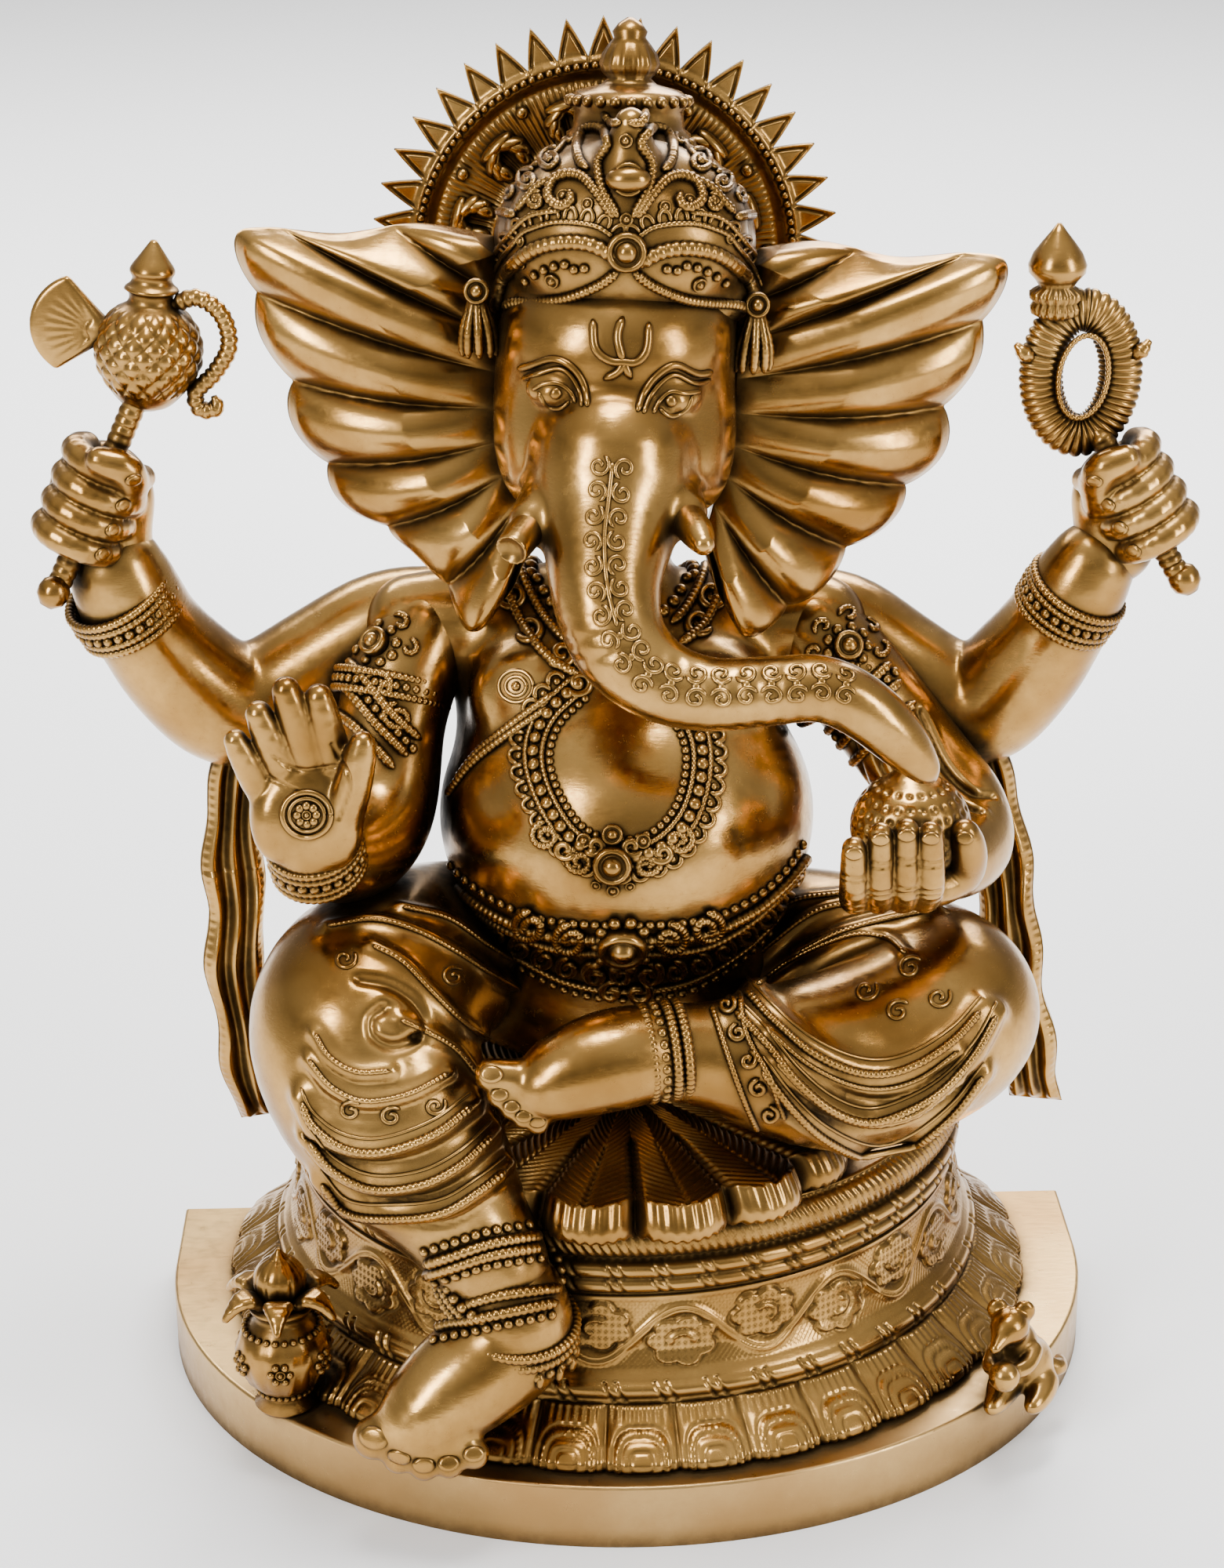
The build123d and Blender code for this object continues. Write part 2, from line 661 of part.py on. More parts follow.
# ---------------------------------------------------------------- legs and feet
def make_legs():
    seat = ["torso", "rope_moulding_seat", "seat_cloth"]
    lower = ["engraved_drum", "lotus_petal_tier", "base_plate"]
    right_thigh = [(-60, 66, 248, 46), (-95, 20, 258, 51), (-126, -24, 266, 54),
                   (-138, -60, 262, 46), (-140, -84, 256, 22)]
    right_shin = [(-134, -46, 262, 50), (-128, -74, 236, 48), (-114, -90, 206, 42),
                  (-96, -102, 176, 32), (-77, -112, 148, 24), (-72, -115, 136, 23)]
    inside = [
        limb([(-112, -4, 262, 32), (-124, -22, 264, 46), (-136, -56, 262, 39)]),
        limb([(-130, -62, 250, 40), (-128, -74, 236, 43), (-114, -90, 206, 37), (-96, -102, 176, 26)]),
    ]
    keep("right_leg", limb(right_thigh) + limb(right_shin), [*seat, *lower], hollow=inside)

    right_foot = limb([(-72, -115, 136, 22, 22), (-66, -118, 112, 23, 24), (-70, -121, 88, 26, 23),
                       (-94, -121, 72, 24, 15), (-118, -118, 61, 20, 10), (-136, -115, 54, 9, 5)])
    with BuildPart() as heel:
        with Locations((-56, -121, 84)):
            Sphere(22)
    keep("right_foot", right_foot + heel.part, [*lower, "rope_moulding_seat", "right_leg"])

    left_thigh = [(58, 62, 244, 46), (106, 32, 252, 52), (148, 2, 252, 52),
                  (180, -22, 248, 42), (198, -34, 246, 20)]
    left_shin = [(168, -18, 244, 46), (134, -46, 228, 50), (100, -60, 230, 44),
                 (66, -68, 240, 30), (38, -72, 249, 24)]
    inside = [
        limb([(120, 24, 252, 36), (148, 2, 252, 46), (176, -19, 248, 36)]),
        limb([(148, -35, 235, 41), (134, -46, 228, 44), (102, -59, 230, 37), (70, -67, 239, 23)]),
    ]
    keep("left_leg", limb(left_thigh) + limb(left_shin), seat, hollow=inside)
    left_foot = limb([(38, -72, 249, 22, 22), (14, -76, 253, 20, 20), (-14, -80, 250, 20, 18),
                      (-40, -82, 240, 17, 14), (-60, -82, 229, 9, 7)])
    keep("left_foot", left_foot, ["left_leg", "right_leg", "seat_cloth", "torso"])

    for name, centre, axis, radius, foot in [
        ("right_upper_anklet", (-77, -112, 148), (0.6, -0.3, -0.9), 23, "right"),
        ("right_lower_anklet", (-68, -117, 120), (0.2, -0.1, -1), 22, "right"),
        ("left_anklet", (4, -78, 252), (1, 0.15, -0.05), 20, "left"),
    ]:
        clear_of = [foot + "_foot", foot + "_leg", "engraved_drum", "lotus_petal_tier",
                    "rope_moulding_seat", "seat_cloth", "torso"]
        keep(name, ring_band(centre, axis, radius - 1, 7, 11), clear_of)


# ---------------------------------------------------------------- ornaments on the body
def make_ornaments():
    keep_clear = ["torso", "head_and_trunk", "right_front_arm", "left_front_arm", "right_leg", "left_leg"]
    shell = horizontal_loft([(*s[:3], s[3] + 6, s[4] + 6) for s in TORSO])
    for name, centre, normal, rx, ry, section in [
        ("neck_collar", (-4, 10, 470), (0, -0.75, 0.65), 42, 34, 10),
        ("belly_garland", (-4, -40, 392), (0, -1, 0.15), 42, 42, 9),
    ]:
        with BuildPart() as ornament:
            add(shell)
            add(long_ring(centre, normal, rx, ry, section), mode=Mode.INTERSECT)
        keep(name, ornament.part, keep_clear)
        keep_clear = [*keep_clear, name]
    with BuildPart() as belt:
        add(horizontal_loft([(*s[:3], s[3] + 7, s[4] + 7) for s in TORSO]))
        with BuildSketch(Plane(origin=(0, 0, 292), z_dir=(0, -0.18, 1))):
            Rectangle(400, 400)
        extrude(amount=11, both=True, mode=Mode.INTERSECT)
    keep("waist_belt", belt.part, keep_clear)


def long_ring(centre, normal, rx, ry, section):
    plane = Plane(origin=centre, x_dir=(1, 0, 0), z_dir=normal)
    with BuildPart() as ring:
        with BuildSketch(plane):
            Ellipse(rx + section, ry + section)
            Ellipse(rx - section, ry - section, mode=Mode.SUBTRACT)
        extrude(amount=60, both=True)
    return ring.part


def make_shawl():
    """Ribbons of the shawl that hang from both elbows beside the seat."""
    cutters = ["right_front_arm", "left_front_arm", "right_rear_arm", "left_rear_arm", "right_leg",
               "left_leg", "rope_moulding_seat", "engraved_drum", "lotus_petal_tier", "right_front_hand",
               "left_front_hand", "right_sleeve_cuff", "torso"]
    for name, stations in [
        ("right_shawl_tail", [(-206, 62, 366), (-214, 60, 320), (-210, 58, 270), (-203, 58, 215), (-200, 60, 152)]),
        ("left_shawl_tail", [(198, 62, 360), (210, 60, 310), (222, 58, 262), (232, 58, 210), (238, 60, 150)]),
    ]:
        with BuildPart() as ribbon:
            for i, (x, y, z) in enumerate(stations):
                with BuildSketch(Plane((x, y, z))):
                    Rectangle(5, 30 + 8 * i)
            loft()
        keep(name, ribbon.part, cutters)
    behind = Box(400, 200, 290, align=(Align.CENTER, Align.MIN, Align.MIN))
    behind = Pos(0, 78, SEAT_Z) * behind
    with BuildPart() as cloak:
        add(horizontal_loft([(*s[:3], s[3] + 9, s[4] + 9) for s in TORSO[:6]]))
        add(behind, mode=Mode.INTERSECT)
    keep("back_cloth", cloak.part, [*cutters, "waist_belt"])


# ---------------------------------------------------------------- small figures on the base
def make_base_figures():
    pot_x, pot_y = -192.0, -66.0
    with BuildPart() as pot:
        for z, radius in [(DECK_Z, 8), (44, 16), (60, 23), (74, 20), (86, 10), (92, 11)]:
            with BuildSketch(Plane((pot_x, pot_y, z))):
                Circle(radius)
        loft()
    keep("offering_pot", pot.part, ["lotus_petal_tier"])
    with BuildPart() as leaves:
        with BuildSketch(Plane.XY.offset(92)):
            with Locations((pot_x, pot_y)):
                with PolarLocations(14, 5, start_angle=18):
                    Ellipse(17, 7)
        extrude(amount=4)
    keep("pot_leaves", leaves.part, ["offering_pot", "engraved_drum"])
    with BuildPart() as coconut:
        for z, radius in [(96, 9), (102, 10.5), (110, 8), (120, 1.5)]:
            with BuildSketch(Plane((pot_x, pot_y, z))):
                Circle(radius)
        loft()
    keep("pot_coconut", coconut.part, ["pot_leaves"])

    mouse_x, mouse_y = 206.0, -58.0
    body = limb([(mouse_x + 6, mouse_y + 4, DECK_Z, 13, 12), (mouse_x + 6, mouse_y + 4, 54, 14, 13),
                 (mouse_x + 4, mouse_y, 72, 10, 9), (mouse_x + 2, mouse_y - 6, 84, 8, 8),
                 (mouse_x - 2, mouse_y - 16, 88, 3, 3)])
    with BuildPart() as haunch:
        with Locations((mouse_x - 2, mouse_y - 7, DECK_Z + 4)):
            Cylinder(7, 8)
    keep("mouse", body + haunch.part, ["lotus_petal_tier", "base_plate"])
    with BuildPart() as ball:
        with Locations((mouse_x - 13, mouse_y - 8, 66)):
            Sphere(9)
    keep("mouse_sweet_ball", ball.part, ["mouse"])


# ---------------------------------------------------------------- the whole idol
def main():
    make_base_plate()
    make_pedestal()
    make_pedestal_bolts()
    make_torso()
    keep("seat_cloth", make_seat_cloth(), ["torso"])
    make_head()
    make_crown()
    make_crown_plaque()
    make_tassels()
    make_halo()
    make_ear("right_ear", RIGHT_EAR, radians(-8))
    make_ear("left_ear", LEFT_EAR, radians(8))
    make_arms()
    make_rear_hands()
    make_front_hands()
    make_arm_rings()
    make_ewer()
    make_noose()
    make_legs()
    make_ornaments()
    make_shawl()
    make_base_figures()
    os.makedirs("parts", exist_ok=True)
    for name, part in parts.items():
        export_step(part, f"parts/{name}.step")


main()
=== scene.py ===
import math

import bpy
import numpy as np
import openvdb
from mathutils import Matrix, Vector
from mathutils.bvhtree import BVHTree


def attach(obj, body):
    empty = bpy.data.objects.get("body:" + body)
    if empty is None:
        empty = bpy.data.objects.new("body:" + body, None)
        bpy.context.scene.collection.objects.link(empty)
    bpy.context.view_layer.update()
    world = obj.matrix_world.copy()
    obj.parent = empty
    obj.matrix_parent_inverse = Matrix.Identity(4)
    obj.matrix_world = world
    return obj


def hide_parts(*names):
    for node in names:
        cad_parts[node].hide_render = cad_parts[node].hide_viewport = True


# Looks for a seated brass idol. Lengths below are millimetres until a mesh is stored.
# The idol faces -Y. Ornament is drawn on the plane y = 0 and laid on the body along lines
# from EYE, the way an engraver would trace a drawing on to the form.

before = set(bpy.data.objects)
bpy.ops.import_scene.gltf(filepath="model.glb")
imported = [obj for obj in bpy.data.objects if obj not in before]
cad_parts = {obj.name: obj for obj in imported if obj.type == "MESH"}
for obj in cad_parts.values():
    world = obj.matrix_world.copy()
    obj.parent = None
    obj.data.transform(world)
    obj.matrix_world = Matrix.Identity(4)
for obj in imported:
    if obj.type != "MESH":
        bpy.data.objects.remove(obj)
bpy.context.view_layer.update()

EYE = np.array([-52.0, -1619.0, 1027.0])
FINE = 1.0


# ---------------------------------------------------------------- meshes
def store(name, verts, quads, tris=(), slot="antique_brass", nodes=(), smooth=True):
    """A mesh piece from arrays in millimetres. It stands for the named CAD nodes."""
    verts = np.asarray(verts, np.float64) * 0.001
    quads = np.asarray(quads, np.int32).reshape(-1, 4)
    tris = np.asarray(tris, np.int32).reshape(-1, 3)
    mesh = bpy.data.meshes.new(name)
    mesh.vertices.add(len(verts))
    mesh.vertices.foreach_set("co", verts.ravel())
    loops = np.concatenate([quads.ravel(), tris.ravel()])
    counts = np.concatenate([np.full(len(quads), 4), np.full(len(tris), 3)]).astype(np.int32)
    starts = np.concatenate([[0], np.cumsum(counts)[:-1]]).astype(np.int32)
    mesh.loops.add(len(loops))
    mesh.loops.foreach_set("vertex_index", loops)
    mesh.polygons.add(len(counts))
    mesh.polygons.foreach_set("loop_start", starts)
    mesh.update(calc_edges=True)
    mesh.validate()
    if smooth:
        mesh.shade_smooth()
    obj = bpy.data.objects.new(name, mesh)
    bpy.context.scene.collection.objects.link(obj)
    obj.data.materials.append(MATERIALS[slot])
    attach(obj, "root")
    if nodes:
        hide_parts(*nodes)
    return obj


def unit(v):
    return v / np.maximum(np.linalg.norm(v, axis=-1, keepdims=True), 1e-9)


def weave(rows, columns, closed=True, flip=False):
    """Quads over a grid of points. closed joins its last column to its first."""
    i, k = np.meshgrid(np.arange(rows - 1), np.arange(columns if closed else columns - 1), indexing="ij")
    j = (k + 1) % columns
    corners = [i * columns + k, i * columns + j, (i + 1) * columns + j, (i + 1) * columns + k]
    if flip:
        corners = [corners[c] for c in (0, 3, 2, 1)]
    return np.stack(corners, -1).reshape(-1, 4)


def end_fans(rows, columns):
    """Triangles that close a tube of rows, to two end points stored after its grid."""
    k = np.arange(columns)
    j = (k + 1) % columns
    hub, last = rows * columns, (rows - 1) * columns
    return np.concatenate([
        np.stack([np.full(columns, hub), k, j], 1),
        np.stack([np.full(columns, hub + 1), last + j, last + k], 1),
    ])


def rim_of(rows, columns):
    """The points round the edge of a grid, in order."""
    right = np.arange(1, rows) * columns + columns - 1
    far = (rows - 1) * columns + np.arange(columns - 2, -1, -1)
    return np.concatenate([np.arange(columns), right, far, np.arange(rows - 2, 0, -1) * columns])


class Skin:
    """A closed surface in millimetres that can be engraved and have ornament laid on it."""

    def __init__(self, verts, quads, tris=()):
        self.v = np.asarray(verts, np.float64)
        self.q = np.asarray(quads, np.int64).reshape(-1, 4)
        self.t = np.asarray(tris, np.int64).reshape(-1, 3)
        self.bvh = None

    def normals(self):
        v, n = self.v, np.zeros_like(self.v)
        faces = np.cross(v[self.q[:, 2]] - v[self.q[:, 0]], v[self.q[:, 3]] - v[self.q[:, 1]])
        for k in range(4):
            for axis in range(3):
                n[:, axis] += np.bincount(self.q[:, k], faces[:, axis], len(v))
        if len(self.t):
            faces = np.cross(v[self.t[:, 1]] - v[self.t[:, 0]], v[self.t[:, 2]] - v[self.t[:, 0]])
            for k in range(3):
                for axis in range(3):
                    n[:, axis] += np.bincount(self.t[:, k], faces[:, axis], len(v))
        return unit(n)

    def relax(self, times, share=0.5):
        a = np.concatenate([self.q[:, k] for k in range(4)])
        b = np.concatenate([self.q[:, (k + 1) % 4] for k in range(4)])
        a, b = np.concatenate([a, b]), np.concatenate([b, a])
        count = np.maximum(np.bincount(a, minlength=len(self.v)), 1)
        for i in range(times):
            step = share if i % 2 == 0 else -share * 1.02
            mean = np.stack([np.bincount(a, self.v[b, k], len(self.v)) / count for k in range(3)], 1)
            self.v += step * (mean - self.v)
        return self

    def tree(self):
        if self.bvh is None:
            faces = self.q.tolist() + self.t.tolist()
            self.bvh = BVHTree.FromPolygons(self.v.tolist(), faces)
        return self.bvh

    def drop(self, points, lift=0.0):
        """Lays drawing-plane points (x, z) on the surface as seen from EYE: places, normals."""
        places, normals = [], []
        for x, z in points:
            ray = np.array([x, 0.0, z]) - EYE
            hit, normal, _, _ = self.tree().ray_cast(Vector(EYE), Vector(ray / np.linalg.norm(ray)))
            if hit is None:
                continue
            places.append(np.array(hit) + np.array(normal) * lift)
            normals.append(np.array(normal))
        return np.array(places), np.array(normals)

    def cling(self, points, lift=0.0):
        """Moves points in space to the nearest place on the surface."""
        places, normals = [], []
        for p in points:
            hit, normal, _, _ = self.tree().find_nearest(Vector(p))
            places.append(np.array(hit) + np.array(normal) * lift)
            normals.append(np.array(normal))
        return np.array(places), np.array(normals)

    def press(self, path, width, depth, shape=2.0):
        """Pushes the surface in along a path by depth (out if depth is negative)."""
        near = np.all((self.v > path.min(0) - 3 * width) & (self.v < path.max(0) + 3 * width), 1)
        index = np.nonzero(near)[0]
        if not len(index) or not len(path):
            return self
        normals = self.normals()[index]
        best = np.full(len(index), 1e9)
        for k in range(0, len(path), 64):
            gap = self.v[index][:, None, :] - path[None, k:k + 64]
            best = np.minimum(best, (gap * gap).sum(2).min(1))
        fall = np.exp(-((np.sqrt(best) / width) ** shape))
        self.v[index] -= normals * (fall * depth)[:, None]
        return self

    def engrave(self, drawing, width=0.9, depth=0.9):
        """Cuts lines drawn as (x, z) points into the surface."""
        for line in drawing:
            places, _ = self.drop(resample(line, 0.5))
            if len(places):
                self.press(places, width, depth)
        return self

    def save(self, name, **kw):
        return store(name, self.v, self.q, self.t, **kw)

    def stand_in(self, node):
        """Saves the surface as the look of one CAD node."""
        return self.save("look_" + node, nodes=[node])


def resample(points, step, closed=False):
    """Evenly spaced points along a smooth curve through the given ones."""
    p = np.asarray(points, float)
    if len(p) == 1:
        return p
    if closed:
        p = np.concatenate([p[-1:], p, p[:2]])
    else:
        p = np.concatenate([2 * p[:1] - p[1:2], p, 2 * p[-1:] - p[-2:-1]])
    out = []
    t = np.linspace(0, 1, 16, endpoint=False)[:, None]
    for i in range(1, len(p) - 2):
        a, b, c, d = p[i - 1], p[i], p[i + 1], p[i + 2]
        out.append(0.5 * (2 * b + (c - a) * t + (2 * a - 5 * b + 4 * c - d) * t**2
                          + (3 * b - a - 3 * c + d) * t**3))
    out = np.concatenate(out + [p[-2:-1]])
    length = np.concatenate([[0], np.cumsum(np.linalg.norm(np.diff(out, axis=0), axis=1))])
    count = max(int(length[-1] / step), 2)
    at = np.linspace(0, length[-1], count + 1)
    return np.stack([np.interp(at, length, out[:, k]) for k in range(out.shape[1])], 1)


def steady(values, times=6):
    """Evens out a row of normals or points along a path."""
    v = np.array(values, float)
    for _ in range(times):
        v[1:-1] = 0.25 * v[:-2] + 0.5 * v[1:-1] + 0.25 * v[2:]
    return v


# ---------------------------------------------------------------- modelling in clay
class Clay:
    """A distance field on a grid, in millimetres. Forms are blended into it."""

    def __init__(self, low, high, step):
        self.low, self.step = np.array(low, np.float32), step
        size = np.ceil((np.array(high) - self.low) / step).astype(int) + 1
        self.axes = [self.low[k] + step * np.arange(size[k], dtype=np.float32) for k in range(3)]
        self.d = np.full(size, 60.0, np.float32)

    def window(self, low, high, pad):
        cut, grids = [], []
        for k in range(3):
            a = max(int((low[k] - pad - self.low[k]) / self.step), 0)
            b = min(int((high[k] + pad - self.low[k]) / self.step) + 2, self.d.shape[k])
            cut.append(slice(a, max(b, a)))
            shape = [1, 1, 1]
            shape[k] = -1
            grids.append(self.axes[k][cut[-1]].reshape(shape))
        return tuple(cut), grids

    def mix(self, cut, d, k, mode):
        old = self.d[cut]
        if mode == "cut":
            d, sign = -d, -1.0
        else:
            sign = 1.0
        if k > 0:
            h = np.maximum(k - np.abs(old - d), 0.0)
            soft = h * h / (4 * k)
        else:
            soft = 0.0
        self.d[cut] = np.minimum(old, d) - soft if sign > 0 else np.maximum(old, d) + soft

    def bone(self, a, b, ra, rb, k=0.0, mode="add"):
        a, b = np.array(a, np.float32), np.array(b, np.float32)
        r, ab = max(ra, rb), b - a
        cut, (x, y, z) = self.window(np.minimum(a, b) - r, np.maximum(a, b) + r, k + 8)
        if 0 in self.d[cut].shape:
            return self
        px, py, pz = x - a[0], y - a[1], z - a[2]
        t = np.clip((px * ab[0] + py * ab[1] + pz * ab[2]) / max(float(ab @ ab), 1e-6), 0, 1)
        d = np.sqrt((px - ab[0] * t) ** 2 + (py - ab[1] * t) ** 2
                    + (pz - ab[2] * t) ** 2) - (ra + (rb - ra) * t)
        self.mix(cut, d, k, mode)
        return self

    def chain(self, stations, k=0.0, step=None, mode="add"):
        """A tapering limb through (x, y, z, radius) stations, curved smoothly between them."""
        s = resample(stations, step) if step else np.asarray(stations, float)
        for a, b in zip(s[:-1], s[1:]):
            self.bone(a[:3], b[:3], a[3], b[3], k, mode)
        return self

    def ball(self, c, r, k=0.0, turn=None, mode="add"):
        c, r = np.array(c, np.float32), np.array(r if np.ndim(r) else (r, r, r), np.float32)
        big = float(r.max())
        cut, (x, y, z) = self.window(c - big, c + big, k + 8)
        if 0 in self.d[cut].shape:
            return self
        p = [x - c[0], y - c[1], z - c[2]]
        if turn is not None:
            m = turning(turn)
            p = [m[0][i] * p[0] + m[1][i] * p[1] + m[2][i] * p[2] for i in range(3)]
        k0 = np.sqrt(sum((p[i] / r[i]) ** 2 for i in range(3)))
        k1 = np.sqrt(sum((p[i] / r[i] ** 2) ** 2 for i in range(3))) + 1e-6
        self.mix(cut, k0 * (k0 - 1.0) / k1, k, mode)
        return self

    def skin(self, relax=8):
        grid = openvdb.FloatGrid()
        grid.copyFromArray(np.clip(self.d, -20, 20))
        points, quads = grid.convertToQuads(isovalue=0.0)
        s = Skin(points * self.step + self.low, quads[:, ::-1])
        centre = s.v.mean(0)
        far = np.argmax(((s.v - centre) ** 2).sum(1))
        if s.normals()[far] @ (s.v[far] - centre) < 0:
            s.q = s.q[:, ::-1]
        return s.relax(relax)


def turning(angles):
    """Rotation matrix from degrees about X, then Y, then Z."""
    x, y, z = (math.radians(a) for a in angles)
    rx = np.array([[1, 0, 0], [0, math.cos(x), -math.sin(x)], [0, math.sin(x), math.cos(x)]])
    ry = np.array([[math.cos(y), 0, math.sin(y)], [0, 1, 0], [-math.sin(y), 0, math.cos(y)]])
    rz = np.array([[math.cos(z), -math.sin(z), 0], [math.sin(z), math.cos(z), 0], [0, 0, 1]])
    return rz @ ry @ rx


def clay(low, high, step=1.6):
    return Clay(low, high, step * FINE)


# ---------------------------------------------------------------- small ornament
def lathe(profile, segs):
    """Turned shape about +Z from (radius, height), closed at both ends: verts, quads, tris."""
    ring = np.linspace(0, 2 * math.pi, segs, endpoint=False)
    verts = [[0, 0, profile[0][1]]]
    for r, z in profile:
        verts += [[r * math.cos(a), r * math.sin(a), z] for a in ring]
    verts.append([0, 0, profile[-1][1]])
    tris = []
    last = 1 + (len(profile) - 1) * segs
    for k in range(segs):
        tris.append([0, 1 + (k + 1) % segs, 1 + k])
        tris.append([last + segs, last + k, last + (k + 1) % segs])
    return np.array(verts, float), weave(len(profile), segs) + 1, np.array(tris)


FRONT = (0, -1, 0)
BEAD = lathe([(0.5, -0.9), (0.95, -0.4), (1, 0.1), (0.8, 0.6), (0.4, 0.92)], 9)
STUD = lathe([(1, -0.5), (1, 0.2), (0.86, 0.42), (0.7, 0.3), (0.62, 0.1),
              (0.52, 0.25), (0.42, 0.55), (0.2, 0.75)], 18)

KNOB = lathe([(0.4, -1), (0.9, -0.5), (1, 0), (0.9, 0.5), (0.4, 1)], 24)


class Trim:
    """Collects cords, beads and studs into one mesh."""

    def __init__(self):
        self.v, self.q, self.t, self.n = [], [], [], 0

    def put(self, verts, quads, tris):
        self.v.append(verts)
        self.q.append(np.asarray(quads).reshape(-1, 4) + self.n)
        self.t.append(np.asarray(tris).reshape(-1, 3) + self.n)
        self.n += len(verts)

    def stamp(self, shape, place, normal, size, along=None, squash=1.0):
        """Copies a turned or flat shape to a place, with its +Z along the normal."""
        z = unit(np.array(normal, float))
        x = np.cross([0.0, 1.0, 0.3] if along is None else np.cross(z, along), z)
        x = unit(x) if along is None else unit(np.cross(np.cross(z, along), z))
        y = np.cross(z, x)
        size = size if np.ndim(size) else (size, size, size * squash)
        verts = np.array(place) + (shape[0] * np.array(size)) @ np.stack([x, y, z])
        self.put(verts, shape[1], shape[2])

    def cord(self, path, normals, r, pitch=0.0, flat=1.0, depth=0.28, sides=8, taper=True):
        """A cord along a path; pitch is its rib spacing, and flat its width over its height."""
        n = len(path)
        if n < 3:
            return
        normals = np.broadcast_to(np.asarray(normals, float), path.shape)
        along = unit(np.gradient(path, axis=0))
        up = unit(normals - along * (normals * along).sum(1, keepdims=True))
        side = np.cross(along, up)
        length = np.concatenate([[0], np.cumsum(np.linalg.norm(np.diff(path, axis=0), axis=1))])
        size = np.full(n, float(r))
        if pitch:
            size = r * (1 - depth + depth * np.abs(np.sin(math.pi * length / pitch)) ** 0.6)
        if taper:
            ends = np.minimum(length, length[-1] - length)
            size = size * np.clip(0.35 + ends / (2 * r), 0, 1)
        a = np.linspace(0, 2 * math.pi, sides, endpoint=False)
        ring = path[:, None, :] + size[:, None, None] * (
            np.cos(a)[None, :, None] * side[:, None, :] * flat + np.sin(a)[None, :, None] * up[:, None, :]
        )
        verts = np.concatenate([ring.reshape(-1, 3), path[:1], path[-1:]])
        self.put(verts, weave(n, sides, flip=True), end_fans(n, sides))

    def lay(self, skin, line, r, pitch=0.0, lift=0.4, **kw):
        """A cord on a skin along drawing-plane points."""
        step = pitch / 5 if pitch else max(r * 0.6, 0.8)
        places, normals = skin.drop(resample(line, step))
        if len(places) > 3:
            normals = unit(steady(normals, 12))
            places = steady(places, 4) + normals * r * lift
            self.cord(places, normals, r, pitch, **kw)

    def row(self, skin, line, r, gap=None, lift=0.3, squash=0.8):
        """Beads on a skin along drawing-plane points."""
        places, normals = skin.drop(resample(line, gap or 2.05 * r))
        if len(places):
            normals = unit(steady(normals, 6))
            for p, n in zip(places + normals * r * lift, normals):
                self.stamp(BEAD, p, n, r, squash=squash)

    def curls(self, skin, spots, size, turns, start, r, pitch=0.0, **kw):
        """Spirals at (x, z, way) spots. way is 1 or -1, and start has the first angle for each."""
        for x, z, way in spots:
            angle = start[0] if way > 0 else start[1]
            self.lay(skin, spiral((x, z), size, angle, turns * way), r, pitch, **kw)

    def wreath(self, skin, centre, radius, count, r, **kw):
        """A ring of beads on a skin round a drawing-plane point."""
        for k in range(count):
            a = 2 * math.pi * k / count
            at = (centre[0] + radius * math.cos(a), centre[1] + radius * math.sin(a))
            self.stud(skin, at, r, shape=BEAD, **kw)

    def stud(self, skin, at, r, squash=0.8, lift=0.15, shape=STUD):
        places, normals = skin.drop([at])
        if len(places):
            self.stamp(shape, places[0] + normals[0] * r * lift, normals[0], r, squash=squash)

    def save(self, name, **kw):
        if self.v:
            return store(name, np.concatenate(self.v), np.concatenate(self.q), np.concatenate(self.t), **kw)

    def stand_in(self, node):
        """Saves the ornament as the look of one CAD node."""
        return self.save("look_" + node, nodes=[node])


def spiral(centre, radius, start, turns, lead=(), inner=0.22):
    """Drawing-plane points that come along lead and wind in to a centre. Degrees; + is anticlockwise."""
    n = max(int(abs(turns) * 14), 6)
    out = [tuple(p) for p in lead]
    for i in range(n + 1):
        f = i / n
        a = math.radians(start + 360 * turns * f)
        rr = radius * (1 - f * (1 - inner))
        out.append((centre[0] + rr * math.cos(a), centre[1] + rr * math.sin(a)))
    return out


def mirror(line, about=4.0):
    return [(2 * about - x, z) for x, z in line]


